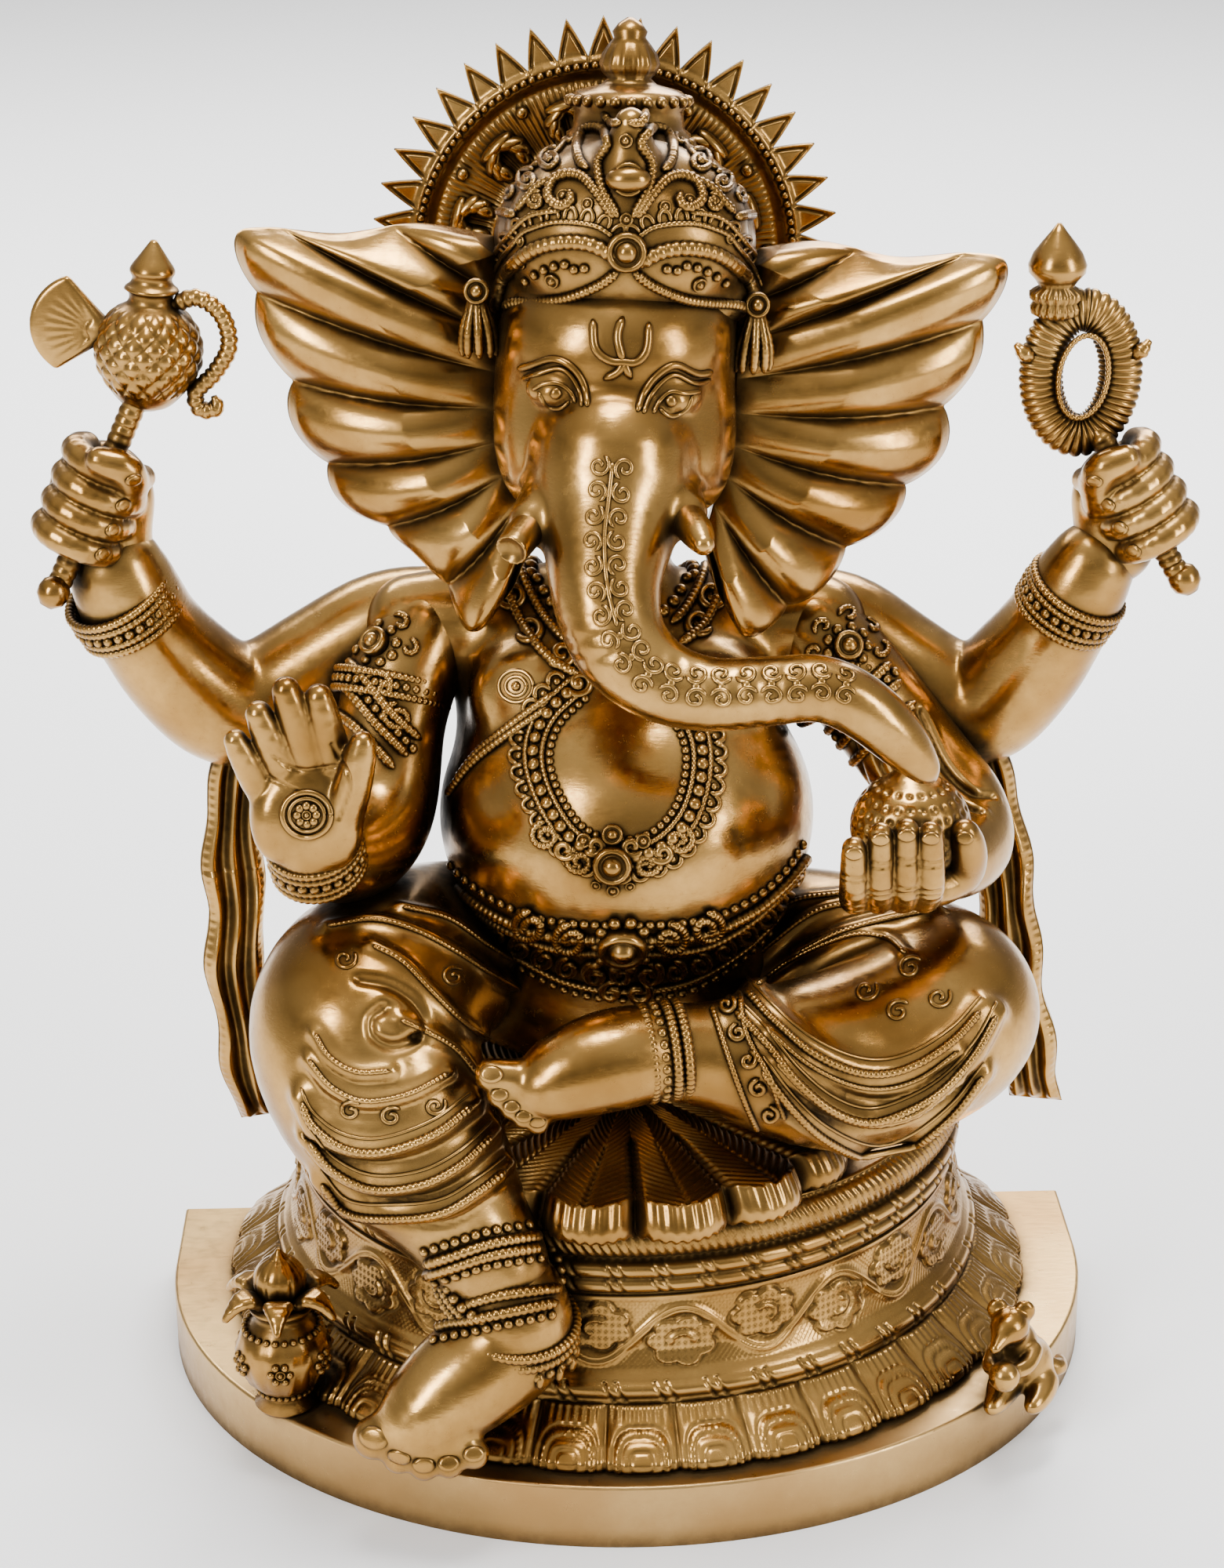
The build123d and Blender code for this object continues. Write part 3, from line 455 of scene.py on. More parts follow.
# ---------------------------------------------------------------- materials
def brass(name, high, low, patina_and_shade_colour, rough, patina_and_shade_strength=1.0, scale=1.0):
    """Polished brass, warm in hue, with dark patina left in its recesses, painted shade that darkens it
    broadly between and under parts, and fine scratches.
    """
    m = bpy.data.materials.new(name)
    m.use_nodes = True
    nt = m.node_tree
    nodes, links = nt.nodes, nt.links
    bsdf = nodes["Principled BSDF"]
    bsdf.inputs["Metallic"].default_value = 1.0

    def new(kind, **values):
        node = nodes.new(kind)
        for key, value in values.items():
            if key in node.inputs:
                node.inputs[key].default_value = value
            else:
                setattr(node, key, value)
        return node

    def ramp(source, stops):
        node = new("ShaderNodeValToRGB")
        links.new(source, node.inputs[0])
        elements = node.color_ramp.elements
        while len(elements) < len(stops):
            elements.new(0.5)
        for element, (at, colour) in zip(elements, stops):
            element.position = at
            element.color = (*colour, 1) if np.ndim(colour) else (colour, colour, colour, 1)
        return node

    def blend(kind, factor, a, b):
        node = new("ShaderNodeMix", data_type="RGBA", blend_type=kind)
        for socket, value in ((node.inputs[0], factor), (node.inputs[6], a), (node.inputs[7], b)):
            if isinstance(value, bpy.types.NodeSocket):
                links.new(value, socket)
            else:
                socket.default_value = value if np.ndim(value) == 0 else (*value, 1)
        return node.outputs[2]

    coords = new("ShaderNodeTexCoord").outputs["Object"]
    broad = new("ShaderNodeTexNoise", Scale=14.0 * scale, Detail=3.0)
    fine = new("ShaderNodeTexNoise", Scale=160.0 * scale, Detail=5.0, Roughness=0.65)
    links.new(coords, broad.inputs["Vector"])
    links.new(coords, fine.inputs["Vector"])
    hollow = new("ShaderNodeAmbientOcclusion", Distance=0.012, samples=6)
    # The wide occlusion below drives painted shade: it finds where neighbouring parts crowd the brass.
    wide_shade_occlusion = new("ShaderNodeAmbientOcclusion", Distance=0.045, samples=6)
    tone = ramp(broad.outputs["Fac"], [(0.32, low), (0.66, high)])
    base = blend("MIX", ramp(fine.outputs["Fac"],
                             [(0.3, 0.0), (0.75, 0.35)]).outputs[0], tone.outputs[0], low)
    dark = ramp(hollow.outputs["AO"], [(0.60, 1.0), (0.96, 0.0)])
    # Painted shade: where the wide occlusion is low, between and under parts, the brass is mixed toward a
    # dark colour made from the low tone and the patina colour. The short occlusion after it gives the dark
    # patina in crevices.
    broad_painted_shade = ramp(wide_shade_occlusion.outputs["AO"], [(0.40, 1.0), (0.96, 0.0)])
    base = blend("MIX", blend("MULTIPLY", 1.0, broad_painted_shade.outputs[0], (0.80 * patina_and_shade_strength,) * 3), base,
                 tuple(0.30 * c + 0.70 * p for c, p in zip(low, patina_and_shade_colour)))
    spread = blend("MULTIPLY", 1.0, dark.outputs[0],
                   ramp(fine.outputs["Fac"], [(0.25, 0.7), (0.6, 1.0)]).outputs[0])
    base = blend("MIX", blend("MULTIPLY", 1.0, spread, (0.93 * patina_and_shade_strength,) * 3), base, patina_and_shade_colour)
    links.new(base, bsdf.inputs["Base Color"])
    roughness = blend("MIX", spread,
                      ramp(fine.outputs["Fac"],
                           [(0.3, rough - 0.05), (0.8, rough + 0.12)]).outputs[0], (0.62,) * 3)
    links.new(roughness, bsdf.inputs["Roughness"])
    scratch = new("ShaderNodeTexNoise", Scale=420.0 * scale, Detail=2.0)
    stretch = new("ShaderNodeMapping")
    stretch.inputs["Scale"].default_value = (0.35, 1.0, 1.6)
    links.new(coords, stretch.inputs["Vector"])
    links.new(stretch.outputs[0], scratch.inputs["Vector"])
    bump = new("ShaderNodeBump", Strength=0.10, Distance=0.0006)
    links.new(scratch.outputs["Fac"], bump.inputs["Height"])
    links.new(bump.outputs[0], bsdf.inputs["Normal"])
    return m


def steel(name):
    m = bpy.data.materials.new(name)
    m.use_nodes = True
    bsdf = m.node_tree.nodes["Principled BSDF"]
    bsdf.inputs["Metallic"].default_value = 1.0
    noise = m.node_tree.nodes.new("ShaderNodeTexNoise")
    noise.inputs["Scale"].default_value = 90.0
    ramp = m.node_tree.nodes.new("ShaderNodeValToRGB")
    ramp.color_ramp.elements[0].color = (0.30, 0.30, 0.31, 1)
    ramp.color_ramp.elements[1].color = (0.62, 0.62, 0.63, 1)
    m.node_tree.links.new(noise.outputs["Fac"], ramp.inputs[0])
    m.node_tree.links.new(ramp.outputs[0], bsdf.inputs["Base Color"])
    bsdf.inputs["Roughness"].default_value = 0.38
    return m


# Each brass's patina colour and grime strength set both its dark patina in crevices and its painted shade
# between and under parts.
MATERIALS = {
    "antique_brass": brass(
        "antique_brass", high=(0.60, 0.345, 0.098), low=(0.27, 0.130, 0.028),
        patina_and_shade_colour=(0.010, 0.007, 0.004), rough=0.21,
    ),
    "plinth_brass": brass(
        "plinth_brass", high=(0.62, 0.40, 0.155), low=(0.44, 0.25, 0.085),
        patina_and_shade_colour=(0.04, 0.025, 0.012), rough=0.31, patina_and_shade_strength=0.8, scale=0.8,
    ),
    "fixing_steel": steel("fixing_steel"),
}


# ---------------------------------------------------------------- pedestal
PED_X, PED_Y, PED_BACK = 4.0, 88.0, 149.0


def tier(name, radius_at, low, high, relief, nodes, step=0.9):
    """A band of the pedestal: a drum cut flat at the back, with relief(angle, z) cut in its front."""
    step *= FINE
    rows = np.arange(low, high + step, step)
    columns = int(2 * 1.87 * 200 / step)
    verts = []
    for z in rows:
        r = radius_at(z)
        half = math.pi / 2 + math.asin(min((PED_BACK - PED_Y) / r, 1))
        a = np.linspace(-half, half, columns)
        out = r + relief(a, z) * np.clip((half - np.abs(a)) * 12, 0, 1)
        x, y = PED_X + out * np.sin(a), np.minimum(PED_Y - out * np.cos(a), PED_BACK)
        end = abs(x[-1] - PED_X)
        back = np.array([PED_X + end - 1.0, PED_X + end / 2, PED_X - end / 2, PED_X - end + 1.0])
        verts.append(np.stack([np.concatenate([x, back]),
                               np.concatenate([y, [PED_BACK] * 4]), np.full(columns + 4, z)], 1))
    n, m = columns + 4, len(rows)
    quads = weave(m, n)
    grid = np.concatenate(verts)
    tris, extra = [], []
    for row, z, flip in ((0, rows[0], True), (m - 1, rows[-1], False)):
        inner = grid[row * n:(row + 1) * n].copy()
        inner[:, :2] = (inner[:, :2] - [PED_X, 60]) * 0.985 + [PED_X, 60]
        at = len(grid) + len(np.concatenate(extra)) if extra else len(grid)
        extra.append(np.concatenate([inner, [[PED_X, 60, z]]]))
        k = np.arange(n)
        j = (k + 1) % n
        ring = np.stack([row * n + k, row * n + j, at + j, at + k], 1)
        fan = np.stack([at + k, at + j, np.full(n, at + n)], 1)
        quads = np.concatenate([quads, ring[:, ::-1] if flip else ring])
        tris.append(fan[:, ::-1] if flip else fan)
    return store(name, np.concatenate([grid] + extra), quads, np.concatenate(tris), nodes=nodes)


def hump(x, width):
    return np.exp(-((x / width) ** 2))


def lotus_radius(z):
    return float(np.interp(z, [37, 40, 44, 50, 57, 63], [229, 232, 231, 224, 213, 205]))


def lotus_relief(a, z):
    p = np.degrees(a) / 10.0
    p = 2 * (p - np.round(p))
    v = (z - 37) / 26.0
    s = (np.abs(p) ** 3.2 + np.abs(min(v, 0.9) * 1.25 - 0.32) ** 3.2 * 2.2) ** (1 / 3.2)
    body = 5.0 * np.sqrt(np.clip(1 - np.abs(p) ** 3.5, 0, 1)) - 4.0
    grooves = -1.4 * hump(s - 0.78, 0.045) - 1.2 * hump(s - 0.56, 0.04) - 1.0 * hump(s - 0.3, 0.04)
    scales = 0.45 * np.sin(np.arctan2(v - 0.3, p) * 42) * hump(s - 0.67, 0.07)
    veins = 0.5 * np.sin(p * 26) * np.clip((v - 0.72) * 6, 0, 1)
    return body + grooves + scales + veins


VINE_WAVES, VINE_Z, VINE_SWING = 13, 99.0, 14.0


def drum_radius(z):
    base = float(np.interp(z, [63, 66, 76, 80, 90, 108, 116, 120],
                           [203, 203, 200, 196, 191.5, 190, 189, 189]))
    return max(base, 198 + 6.0 * math.sqrt(max(1 - ((z - 70) / 5.5) ** 2, 0)) if abs(z - 70) < 5.5 else 0)


def drum_relief(a, z):
    arc = a * 192.0
    if z < 78:
        pair = (arc % 26.0) - 13
        ticks = sum(-1.6 * hump(pair - o + (z - 70) * 0.5, 0.9) for o in (-3, 3))
        return ticks * (abs(z - 70) < 5.5)
    wave = a * VINE_WAVES
    stem = VINE_Z + VINE_SWING * np.sin(wave)
    slope = VINE_SWING * VINE_WAVES / 192.0 * np.cos(wave)
    gap = (z - stem) / np.sqrt(1 + slope**2)
    out = 2.0 * hump(gap, 3.0) - 1.3 * hump(gap, 0.8)
    k = np.round((wave - math.pi / 2) / math.pi)
    cx = (k * math.pi + math.pi / 2) / VINE_WAVES * 192.0
    cz = VINE_Z - np.where(k % 2 == 0, 1, -1) * 4.5
    dx, dz = (arc - cx) * 0.72, z - cz
    rho, phi = np.hypot(dx, dz), np.arctan2(dz, dx)
    lobe = 12.2 + 2.4 * np.abs(np.sin(phi * 3.5))
    field = 1 / (1 + np.exp((rho - lobe) * 2.2))
    out += 1.5 * field - 1.6 * hump(rho - lobe, 0.8)
    open_side = np.sin(phi + k) > -0.2
    out += (field * 0.45 * np.sin(arc * 2.9) * np.sin(z * 2.9)
            + 1.2 * hump(rho - 4.2, 0.9) * open_side - 0.9 * hump(rho - 6.6, 0.7) * open_side)
    ground = (1 - field) * (1 - hump(gap, 3.2))
    out += ground * (0.35 * np.sin(arc * 2.1) * np.sin(z * 2.1) - 0.5)
    return out * np.clip((min(z - 79, 119 - z)) / 2.5, 0, 1)


# Height, size and distance from the axis: the cords round the seat's foot, and the rope above.
SEAT_CORDS = ((127.5, 4.6, 187), (137, 4.8, 188))
SEAT_ROPE = (153.5, 11.0, 183)


def seat_radius(z):
    r = float(np.interp(z, [120, 165], [187.5, 185.5]))
    for centre, size, at in (*SEAT_CORDS, SEAT_ROPE):
        if abs(z - centre) < size:
            r = max(r, at + math.sqrt(size**2 - (z - centre) ** 2))
    return r


def seat_relief(a, z):
    arc = a * 190.0
    if z > 142.8:
        return -1.5 * np.abs(np.sin(math.pi * (arc + (z - 153) * 0.55) / 4.7)) ** 0.7 * (abs(z - 153.5) < 11)
    out = np.zeros_like(a)
    for centre, size, _ in SEAT_CORDS:
        if abs(z - centre) < size:
            for o in (-3, 3):
                out -= 1.5 * hump((arc % 25.0) - 12.5 - o + (z - centre) * 0.6, 0.9)
    return out


tier("look_lotus_tier", lotus_radius, 37.2, 63, lotus_relief, ["lotus_petal_tier"], 0.8)
tier("look_drum", drum_radius, 63, 120, drum_relief, ["engraved_drum"], 0.85)
tier("look_seat", seat_radius, 120, 165, seat_relief, ["rope_moulding_seat"], 0.9)


def seat_cloth():
    """A cloth of pleated lobes spread on the seat under the figure."""
    n, m = int(700 / FINE), int(120 / FINE)
    a = np.linspace(0, 2 * math.pi, n, endpoint=False)
    p = (np.degrees(a) / 24.0) % 1.0 - 0.5
    rim = 102 + 20 * np.sqrt(np.clip(1 - (2 * p) ** 2, 0, 1)) + 8 * np.cos(a) ** 2
    rows = []
    for i in range(m):
        f = i / (m - 1)
        r = rim * (0.25 + 0.75 * min(f * 1.35, 1.0))
        z = 190.5 - 5 * f if f < 0.74 else 186.8 - 21.5 * math.sin((f - 0.74) / 0.26 * math.pi / 2)
        rib = 0.7 * np.sin((r * 0.9 + np.abs(p) * 34) * 1.3) if f < 0.74 else 0.8 * np.sin(p * 60)
        crease = -3.0 * hump(np.abs(p) - 0.5, 0.06) * (f > 0.25)
        crease += -1.4 * hump(np.abs(p), 0.025) * (0.25 < f < 0.74)
        grow = 1.0 + 0.06 * math.sin(max(f - 0.74, 0) / 0.26 * math.pi)
        x, y = 2 + r * grow * np.sin(a), 4 - r * grow * np.cos(a) * 0.98
        rows.append(np.stack([x, y, z + rib + crease], 1))
    verts = np.concatenate(rows + [[[2, 4, 191]], [[2, 4, 165.5]]])
    store("look_seat_cloth", verts, weave(m, n, flip=True), end_fans(m, n), nodes=["seat_cloth"])


seat_cloth()


# ---------------------------------------------------------------- body
def to_plane(p):
    """The drawing-plane point (x, z) at which a place in space is seen."""
    p = np.array(p, float)
    t = EYE[1] / (EYE[1] - p[1])
    return EYE[0] + (p[0] - EYE[0]) * t, EYE[2] + (p[2] - EYE[2]) * t


def from_plane(x, y, z):
    """The place at depth y that is seen at drawing-plane point (x, z)."""
    t = (EYE[1] - y) / EYE[1]
    return np.array([EYE[0] + (x - EYE[0]) * t, y, EYE[2] + (z - EYE[2]) * t])


torso = clay((-150, -110, 180), (150, 125, 512), 1.8)
torso.ball((3, 17, 350), (100, 98, 88)).ball((-4, 42, 418), (84, 56, 58), 22)
torso.ball((0, 40, 258), (104, 72, 66), 24)
torso.ball((-42, 4, 424), (36, 26, 30), 14).ball((44, 4, 420), (36, 26, 30), 14)
torso.chain([(-4, 46, 440, 40), (-3, 42, 490, 30)], 14)
torso.bone((-60, 50, 450), (-108, 50, 446), 31, 28, 16).bone((56, 50, 446), (106, 50, 442), 31, 28, 16)
torso = torso.skin(12)

right_leg = clay((-205, -165, 130), (-20, 100, 345), 1.7)
right_leg.chain([(-72, 45, 262, 42), (-108, 0, 272, 50), (-136, -55, 270, 57), (-134, -76, 246, 55),
                 (-116, -88, 213, 48), (-90, -102, 176, 33), (-70, -114, 146, 27)], 6, 9)
right_leg = right_leg.skin(10)
left_leg = clay((-15, -135, 185), (235, 100, 330), 1.7)
left_leg.chain([(72, 45, 258, 42), (122, 18, 258, 46), (172, -22, 251, 48), (150, -48, 244, 49),
                (114, -64, 240, 46), (78, -84, 250, 37), (46, -97, 260, 26), (14, -105, 268, 22)], 6, 9)
left_leg = left_leg.skin(10)

right_foot = clay((-160, -190, 40), (-20, -75, 160), 1.3)
right_foot.chain([(-67, -115, 140, 24), (-62, -118, 118, 28), (-64, -119, 108, 28)], 8, 6)
right_foot.chain([(-66, -122, 103, 27), (-88, -131, 92, 26),
                  (-106, -140, 80, 22), (-116, -145, 73, 17)], 8, 6)
toes = [(-84, -156, 62, 8), (-97, -158, 58, 8), (-110, -156, 56, 8.4),
        (-123, -151, 58, 9), (-136, -145, 66, 11.5)]
for x, y, z, r in toes:
    base = np.array([-104, -144, 80]) * 0.55 + np.array([x, y, z]) * 0.45
    right_foot.bone(base, (x, y, z), r + 3, r, 4)
right_foot = right_foot.skin(8)

left_foot = clay((-95, -150, 222), (30, -80, 300), 1.3)
left_foot.chain([(16, -106, 268, 22), (-8, -112, 267, 23.5),
                 (-30, -118, 263, 21), (-46, -123, 257, 15)], 6, 6)
left_toes = [(-48, -130, 241, 6), (-55, -131, 245, 6), (-61, -130, 250, 6.2),
             (-67, -128, 256, 6.5), (-71, -125, 266, 8.5)]
for x, y, z, r in left_toes:
    left_foot.bone(np.array([-42, -122, 260]) * 0.5 + np.array([x, y, z]) * 0.5, (x, y, z), r + 1.5, r, 2.5)
left_foot = left_foot.skin(8)


def arm(stations, low, high, blend=4):
    c = clay(low, high, 1.7)
    c.chain(stations, blend, 8)
    return c.skin(8)


right_rear_arm = arm([(-100, 62, 450, 24), (-128, 66, 440, 28), (-162, 64, 419, 30), (-190, 60, 402, 31.5),
                      (-212, 53, 403, 32), (-234, 46, 426, 30), (-248, 37, 450, 27), (-256, 30, 470, 26.5),
                      (-262, 27, 488, 24.5)], (-300, 0, 355), (-60, 105, 525))
left_rear_arm = arm([(98, 62, 446, 24), (124, 66, 436, 27), (154, 64, 414, 28), (178, 59, 397, 30),
                     (198, 54, 394, 31), (219, 45, 420, 29.5), (232, 38, 443, 26.5), (240, 30, 463, 25),
                     (249, 27, 482, 22.5)], (60, 0, 350), (290, 105, 520))
right_front_arm = arm([(-102, 44, 446, 25), (-115, 32, 424, 28), (-122, 22, 400, 27.5), (-126, 2, 366, 27),
                       (-134, -20, 353, 26), (-147, -44, 353, 23),
                       (-156, -60, 361, 20.5), (-159, -70, 372, 20)],
                      (-190, -105, 315), (-70, 80, 480))
left_front_arm = arm([(102, 44, 442, 25), (122, 38, 420, 27), (142, 32, 396, 27), (164, 20, 368, 27),
                      (178, 6, 354, 26), (183, -14, 344, 23), (176, -38, 344, 20), (164, -56, 348, 19)],
                     (70, -90, 310), (222, 80, 478))

# The raised open hand.
right_hand = clay((-215, -125, 338), (-110, -55, 482), 1.1)
right_hand.ball((-161, -84, 398), (28, 14, 29)).ball((-158, -76, 374), (21, 18, 18),
    10).bone((-158, -72, 362), (-159, -78, 374), 18, 18, 8)
right_hand.ball((-146, -92, 388), (13, 9, 19), 7).ball((-177, -91, 390), (11, 9, 18), 7)
for (bx, bz), (tx, tz), r in [((-145, 418), (-152, 458), 7.6), ((-158, 421), (-168, 462), 7.8),
                              ((-171, 417), (-182, 450), 7.4), ((-183, 408), (-194, 436), 6.6)]:
    r += 0.7
    right_hand.chain([(bx, -84, bz, r + 1),
                      (0.5 * bx + 0.5 * tx, -88, 0.5 * bz + 0.5 * tz, r), (tx, -90, tz, r - 1.4)], 2.0, 6)
right_hand.chain([(-143, -90, 392, 9), (-136, -95, 414, 8), (-131, -97, 436, 6.5)], 4, 6)
right_hand = right_hand.skin(6)
right_hand.engrave([[(-183, 392), (-170, 384), (-150, 386)], [(-186, 380), (-172, 372), (-156, 360)],
                    [(-152, 398), (-143, 376), (-150, 356)]], 1.1, 1.2)


def fist(palm, stem, side, low, high):
    """A hand closed round a stem, with four fingers across its front."""
    c = clay(low, high, 1.2)
    palm = np.array(palm, float)
    c.ball(palm + [0, 8, 0], (27, 17, 29)).bone(palm + [-side * 4, 6, -26], palm + [0, 6, -8], 21, 22, 10)
    a, b = np.array(stem[0], float), np.array(stem[1], float)
    along = unit(b - a)
    t0 = float((palm - a) @ along)
    across = unit(np.cross(along, [0, 1.0, 0])) * side
    across = across if across[0] * side > 0 else -across
    for i in range(4):
        centre = a + along * (t0 + (i - 1.5) * 14.0)
        path = []
        for deg in (-35, 0, 45, 90, 135, 175):
            w = math.radians(deg)
            path.append((*(centre + across * 18 * math.cos(w)
                           + np.array([0, -16.0, 0]) * math.sin(w) + [0, 4, 0]), 7.9 - 0.006 * deg))
        c.chain(path, 1.2, 5)
    tips = [a + along * (t0 + (i - 1.5) * 14.0) + across * 18 * math.cos(2.5)
            + [0, -19 * math.sin(2.5) + 4, 0] for i in range(4)]
    top = a + along * (t0 - 26)
    c.chain([(*(palm - across * 16 + [0, -4, 6]), 9), (*(top - across * 10 + [0, -14, 0]), 8),
             (*(top + across * 5 + [0, -17, 1]), 7)], 3, 5)
    skin = c.skin(6)
    skin.tips = tips
    return skin


EWER_STEM = ((-242.5, 18.4, 587), (-286, 8, 494))
NOOSE_STEM = ((250, 20, 552), (284, 10, 494))
right_fist = fist((-268, 24, 527), EWER_STEM, -1, (-315, -30, 470), (-215, 70, 582))
left_fist = fist((265, 24, 518), NOOSE_STEM, 1, (215, -30, 462), (318, 70, 575))

# The hand that holds the sweet, its four fingers upright in front.
left_hand = clay((95, -125, 318), (205, -35, 402), 1.1)
left_hand.ball((148, -72, 348), (31, 24, 15)).bone((166, -52, 348), (152, -66, 348), 18, 18, 8)
for i, (x, z) in enumerate([(124, 333), (138, 341), (152, 343), (165, 341)]):
    tip = from_plane(x, -108, z)
    left_hand.chain([(tip[0] + 3 - i, -90, 344, 8.2), (tip[0] + 1, -103, 358, 7.4), (*tip, 6.2)], 1.0, 5)
tip = from_plane(183, -92, 341)
left_hand.chain([(172, -74, 350, 10), (tip[0] + 3, -86, 366, 8.5), (*tip, 7.2)], 4, 5)
left_hand = left_hand.skin(6)

# ---------------------------------------------------------------- head and trunk
head = clay((-90, -150, 400), (165, 100, 712), 1.6)
head.ball((-2, 8, 592), (60, 62, 62)).ball((3, 20, 645), (58, 50, 40), 16)
head.ball((-1, -8, 618), (57, 52, 40), 16).ball((-3, -30, 560), (48, 40, 40), 22)
head.ball((-44, -12, 566), (18, 26, 34), 16).ball((38, -12, 562), (18, 26, 34), 16)
head.bone((-3, 20, 560), (-3, 42, 500), 46, 34, 18)
head.chain([(-5, -44, 566, 40), (-7, -55, 546, 36), (-9, -75, 528, 28.5),
            (-10, -92, 509, 24.5), (-4, -106, 489, 21.5),
            (14, -116, 474, 18.5), (39, -122, 468, 16), (67, -127, 471, 15), (93, -130, 473, 14.2),
            (114, -130, 462, 13.6), (131, -128, 445, 11.5), (143, -126, 430, 7), (147, -124, 424, 3.4)], 5, 6)
for x, z in ((-32, 588), (26, 583)):
    eye = from_plane(x, -52, z)
    head.ball(eye + [0, 4, 0], (15, 9, 9.5), 4).ball(eye + [0, -1.0, -1], (10, 7.0, 7.5), 1.2)
for tip, root, r in (((-54, -85, 534), (-35, -50, 547), 12.5), ((34, -84, 540), (23, -50, 546), 12.5)):
    head.bone(root, np.array(root) * 0.5 + np.array(tip) * 0.5, r + 3, r, 6)
head = head.skin(9)
for k in range(20):
    f = k / 19
    line = resample([(-7, -55, 546), (-10, -92, 509), (-4, -106, 489), (14, -116, 474),
                     (67, -127, 471), (114, -130, 462)], 1.0)
    at = line[int(12 + f * (len(line) - 30))]
    head.press(np.array([at + [o, -30 + abs(o) * 0.9, 6 - abs(o) * 0.55] for o in np.linspace(-24, 24, 25)])
               if f < 0.42
               else np.array([at + [0, -18 + abs(o) * 0.5, o] for o in np.linspace(-16, 16, 20)]), 3.2, 0.9)


def tusk(name, stations, node, end=True):
    c = clay(np.min([s[:3] for s in stations], 0) - 14, np.max([s[:3] for s in stations], 0) + 14, 1.0)
    c.chain(stations, 0.5, 3)
    if not end:
        a, b = np.array(stations[-2][:3]), np.array(stations[-1][:3])
        c.bone(b + unit(b - a) * 7.5, b + unit(b - a) * 24, 9, 9, 0.6, "cut")
    return c.skin(3).save(name, nodes=[node])


tusk("look_right_tusk", [(-30, -44, 550, 9.5), (-42, -64, 542, 9.2),
                         (-55, -88, 533, 8.4)], "right_tusk_stub", False)
tusk("look_left_tusk", [(19, -44, 549, 9.5), (27, -64, 544, 9.2), (34, -84, 539, 8.4),
                        (37, -96, 536, 5.6)], "left_tusk")


def ear(name, node, root, rim):
    """A fan-shaped ear: a pleated sheet between its root line on the head and its rim."""
    n, m = int(360 / FINE), int(110 / FINE)
    root, rim = resample(root, 1.0), resample(rim, 1.0)
    s = np.linspace(0, 1, n)
    root = np.stack([np.interp(s, np.linspace(0, 1, len(root)), root[:, k]) for k in range(3)], 1)
    rim = np.stack([np.interp(s, np.linspace(0, 1, len(rim)), rim[:, k]) for k in range(3)], 1)
    t = np.linspace(0, 1, m)[:, None, None]
    lobes = (1 - 0.085 * (1 - np.abs(np.sin(math.pi * (8.3 * s**1.12 + 0.23))) ** 0.8)
             * np.clip(s * 6 - 1.6, 0, 1))[:, None]
    mid = root[None] * (1 - t * lobes) + rim[None] * t * lobes
    t, s = t[..., 0], s[None]
    bow = 9 * np.sin(math.pi * t) * np.sin(math.pi * np.clip(s, 0, 1)) ** 0.5
    pleat = np.abs(np.sin(math.pi * (8.3 * s**1.12 + 0.18 * t + 0.05))) ** 0.7
    grow = np.clip(t * 2.2, 0, 1) * np.clip((1 - t) * 14 + 0.35, 0, 1)
    front = -(bow + 11.5 * pleat * grow)
    edge = np.sqrt(np.clip(1 - t**10, 0, 1)) * np.clip(np.minimum(s, 1 - s) * 40, 0, 1)
    a = mid + np.stack([0 * t * s, (front - 2.5) * edge, 0 * t * s], -1)
    b = mid + np.stack([0 * t * s, (8 - bow * 0.7 - 2.0 * pleat * grow) * edge, 0 * t * s], -1)
    q = weave(m, n, closed=False)
    o = m * n
    loop = rim_of(m, n)
    nxt = np.roll(loop, -1)
    wall = np.stack([loop, nxt, nxt + o, loop + o], 1)
    skin = Skin(np.concatenate([a.reshape(-1, 3), b.reshape(-1, 3)]),
                np.concatenate([q[:, ::-1], q + o, wall]))
    if skin.normals()[(m // 2) * n + n // 2][1] > 0:
        skin.q = skin.q[:, ::-1]
    skin.save(name, nodes=[node])


ear("look_right_ear", "right_ear",
    [(-52, 24, 652), (-58, 14, 620), (-60, 8, 580), (-56, 8, 540), (-44, 0, 508)],
                [(-62, 22, 662), (-100, 26, 668), (-140, 24, 664),
                 (-176, 22, 668), (-191, 22, 664), (-190, 26, 640),
                 (-180, 30, 604), (-171, 30, 573), (-160, 30, 545),
                 (-144, 28, 522), (-124, 24, 506), (-106, 18, 496),
                 (-92, 8, 478), (-79, 0, 460), (-66, -2, 468), (-52, -4, 494)])
ear("look_left_ear", "left_ear", [(62, 22, 646), (60, 14, 616), (58, 8, 576), (52, 8, 538), (42, 0, 506)],
               [(72, 22, 654), (104, 26, 656), (142, 24, 648), (178, 22, 650), (197, 22, 645), (195, 26, 620),
                (182, 30, 580), (170, 30, 544), (157, 30, 522),
                (140, 28, 504), (124, 24, 490), (110, 18, 478),
                (92, 8, 464), (68, 0, 454), (58, -2, 462), (46, -4, 490)])

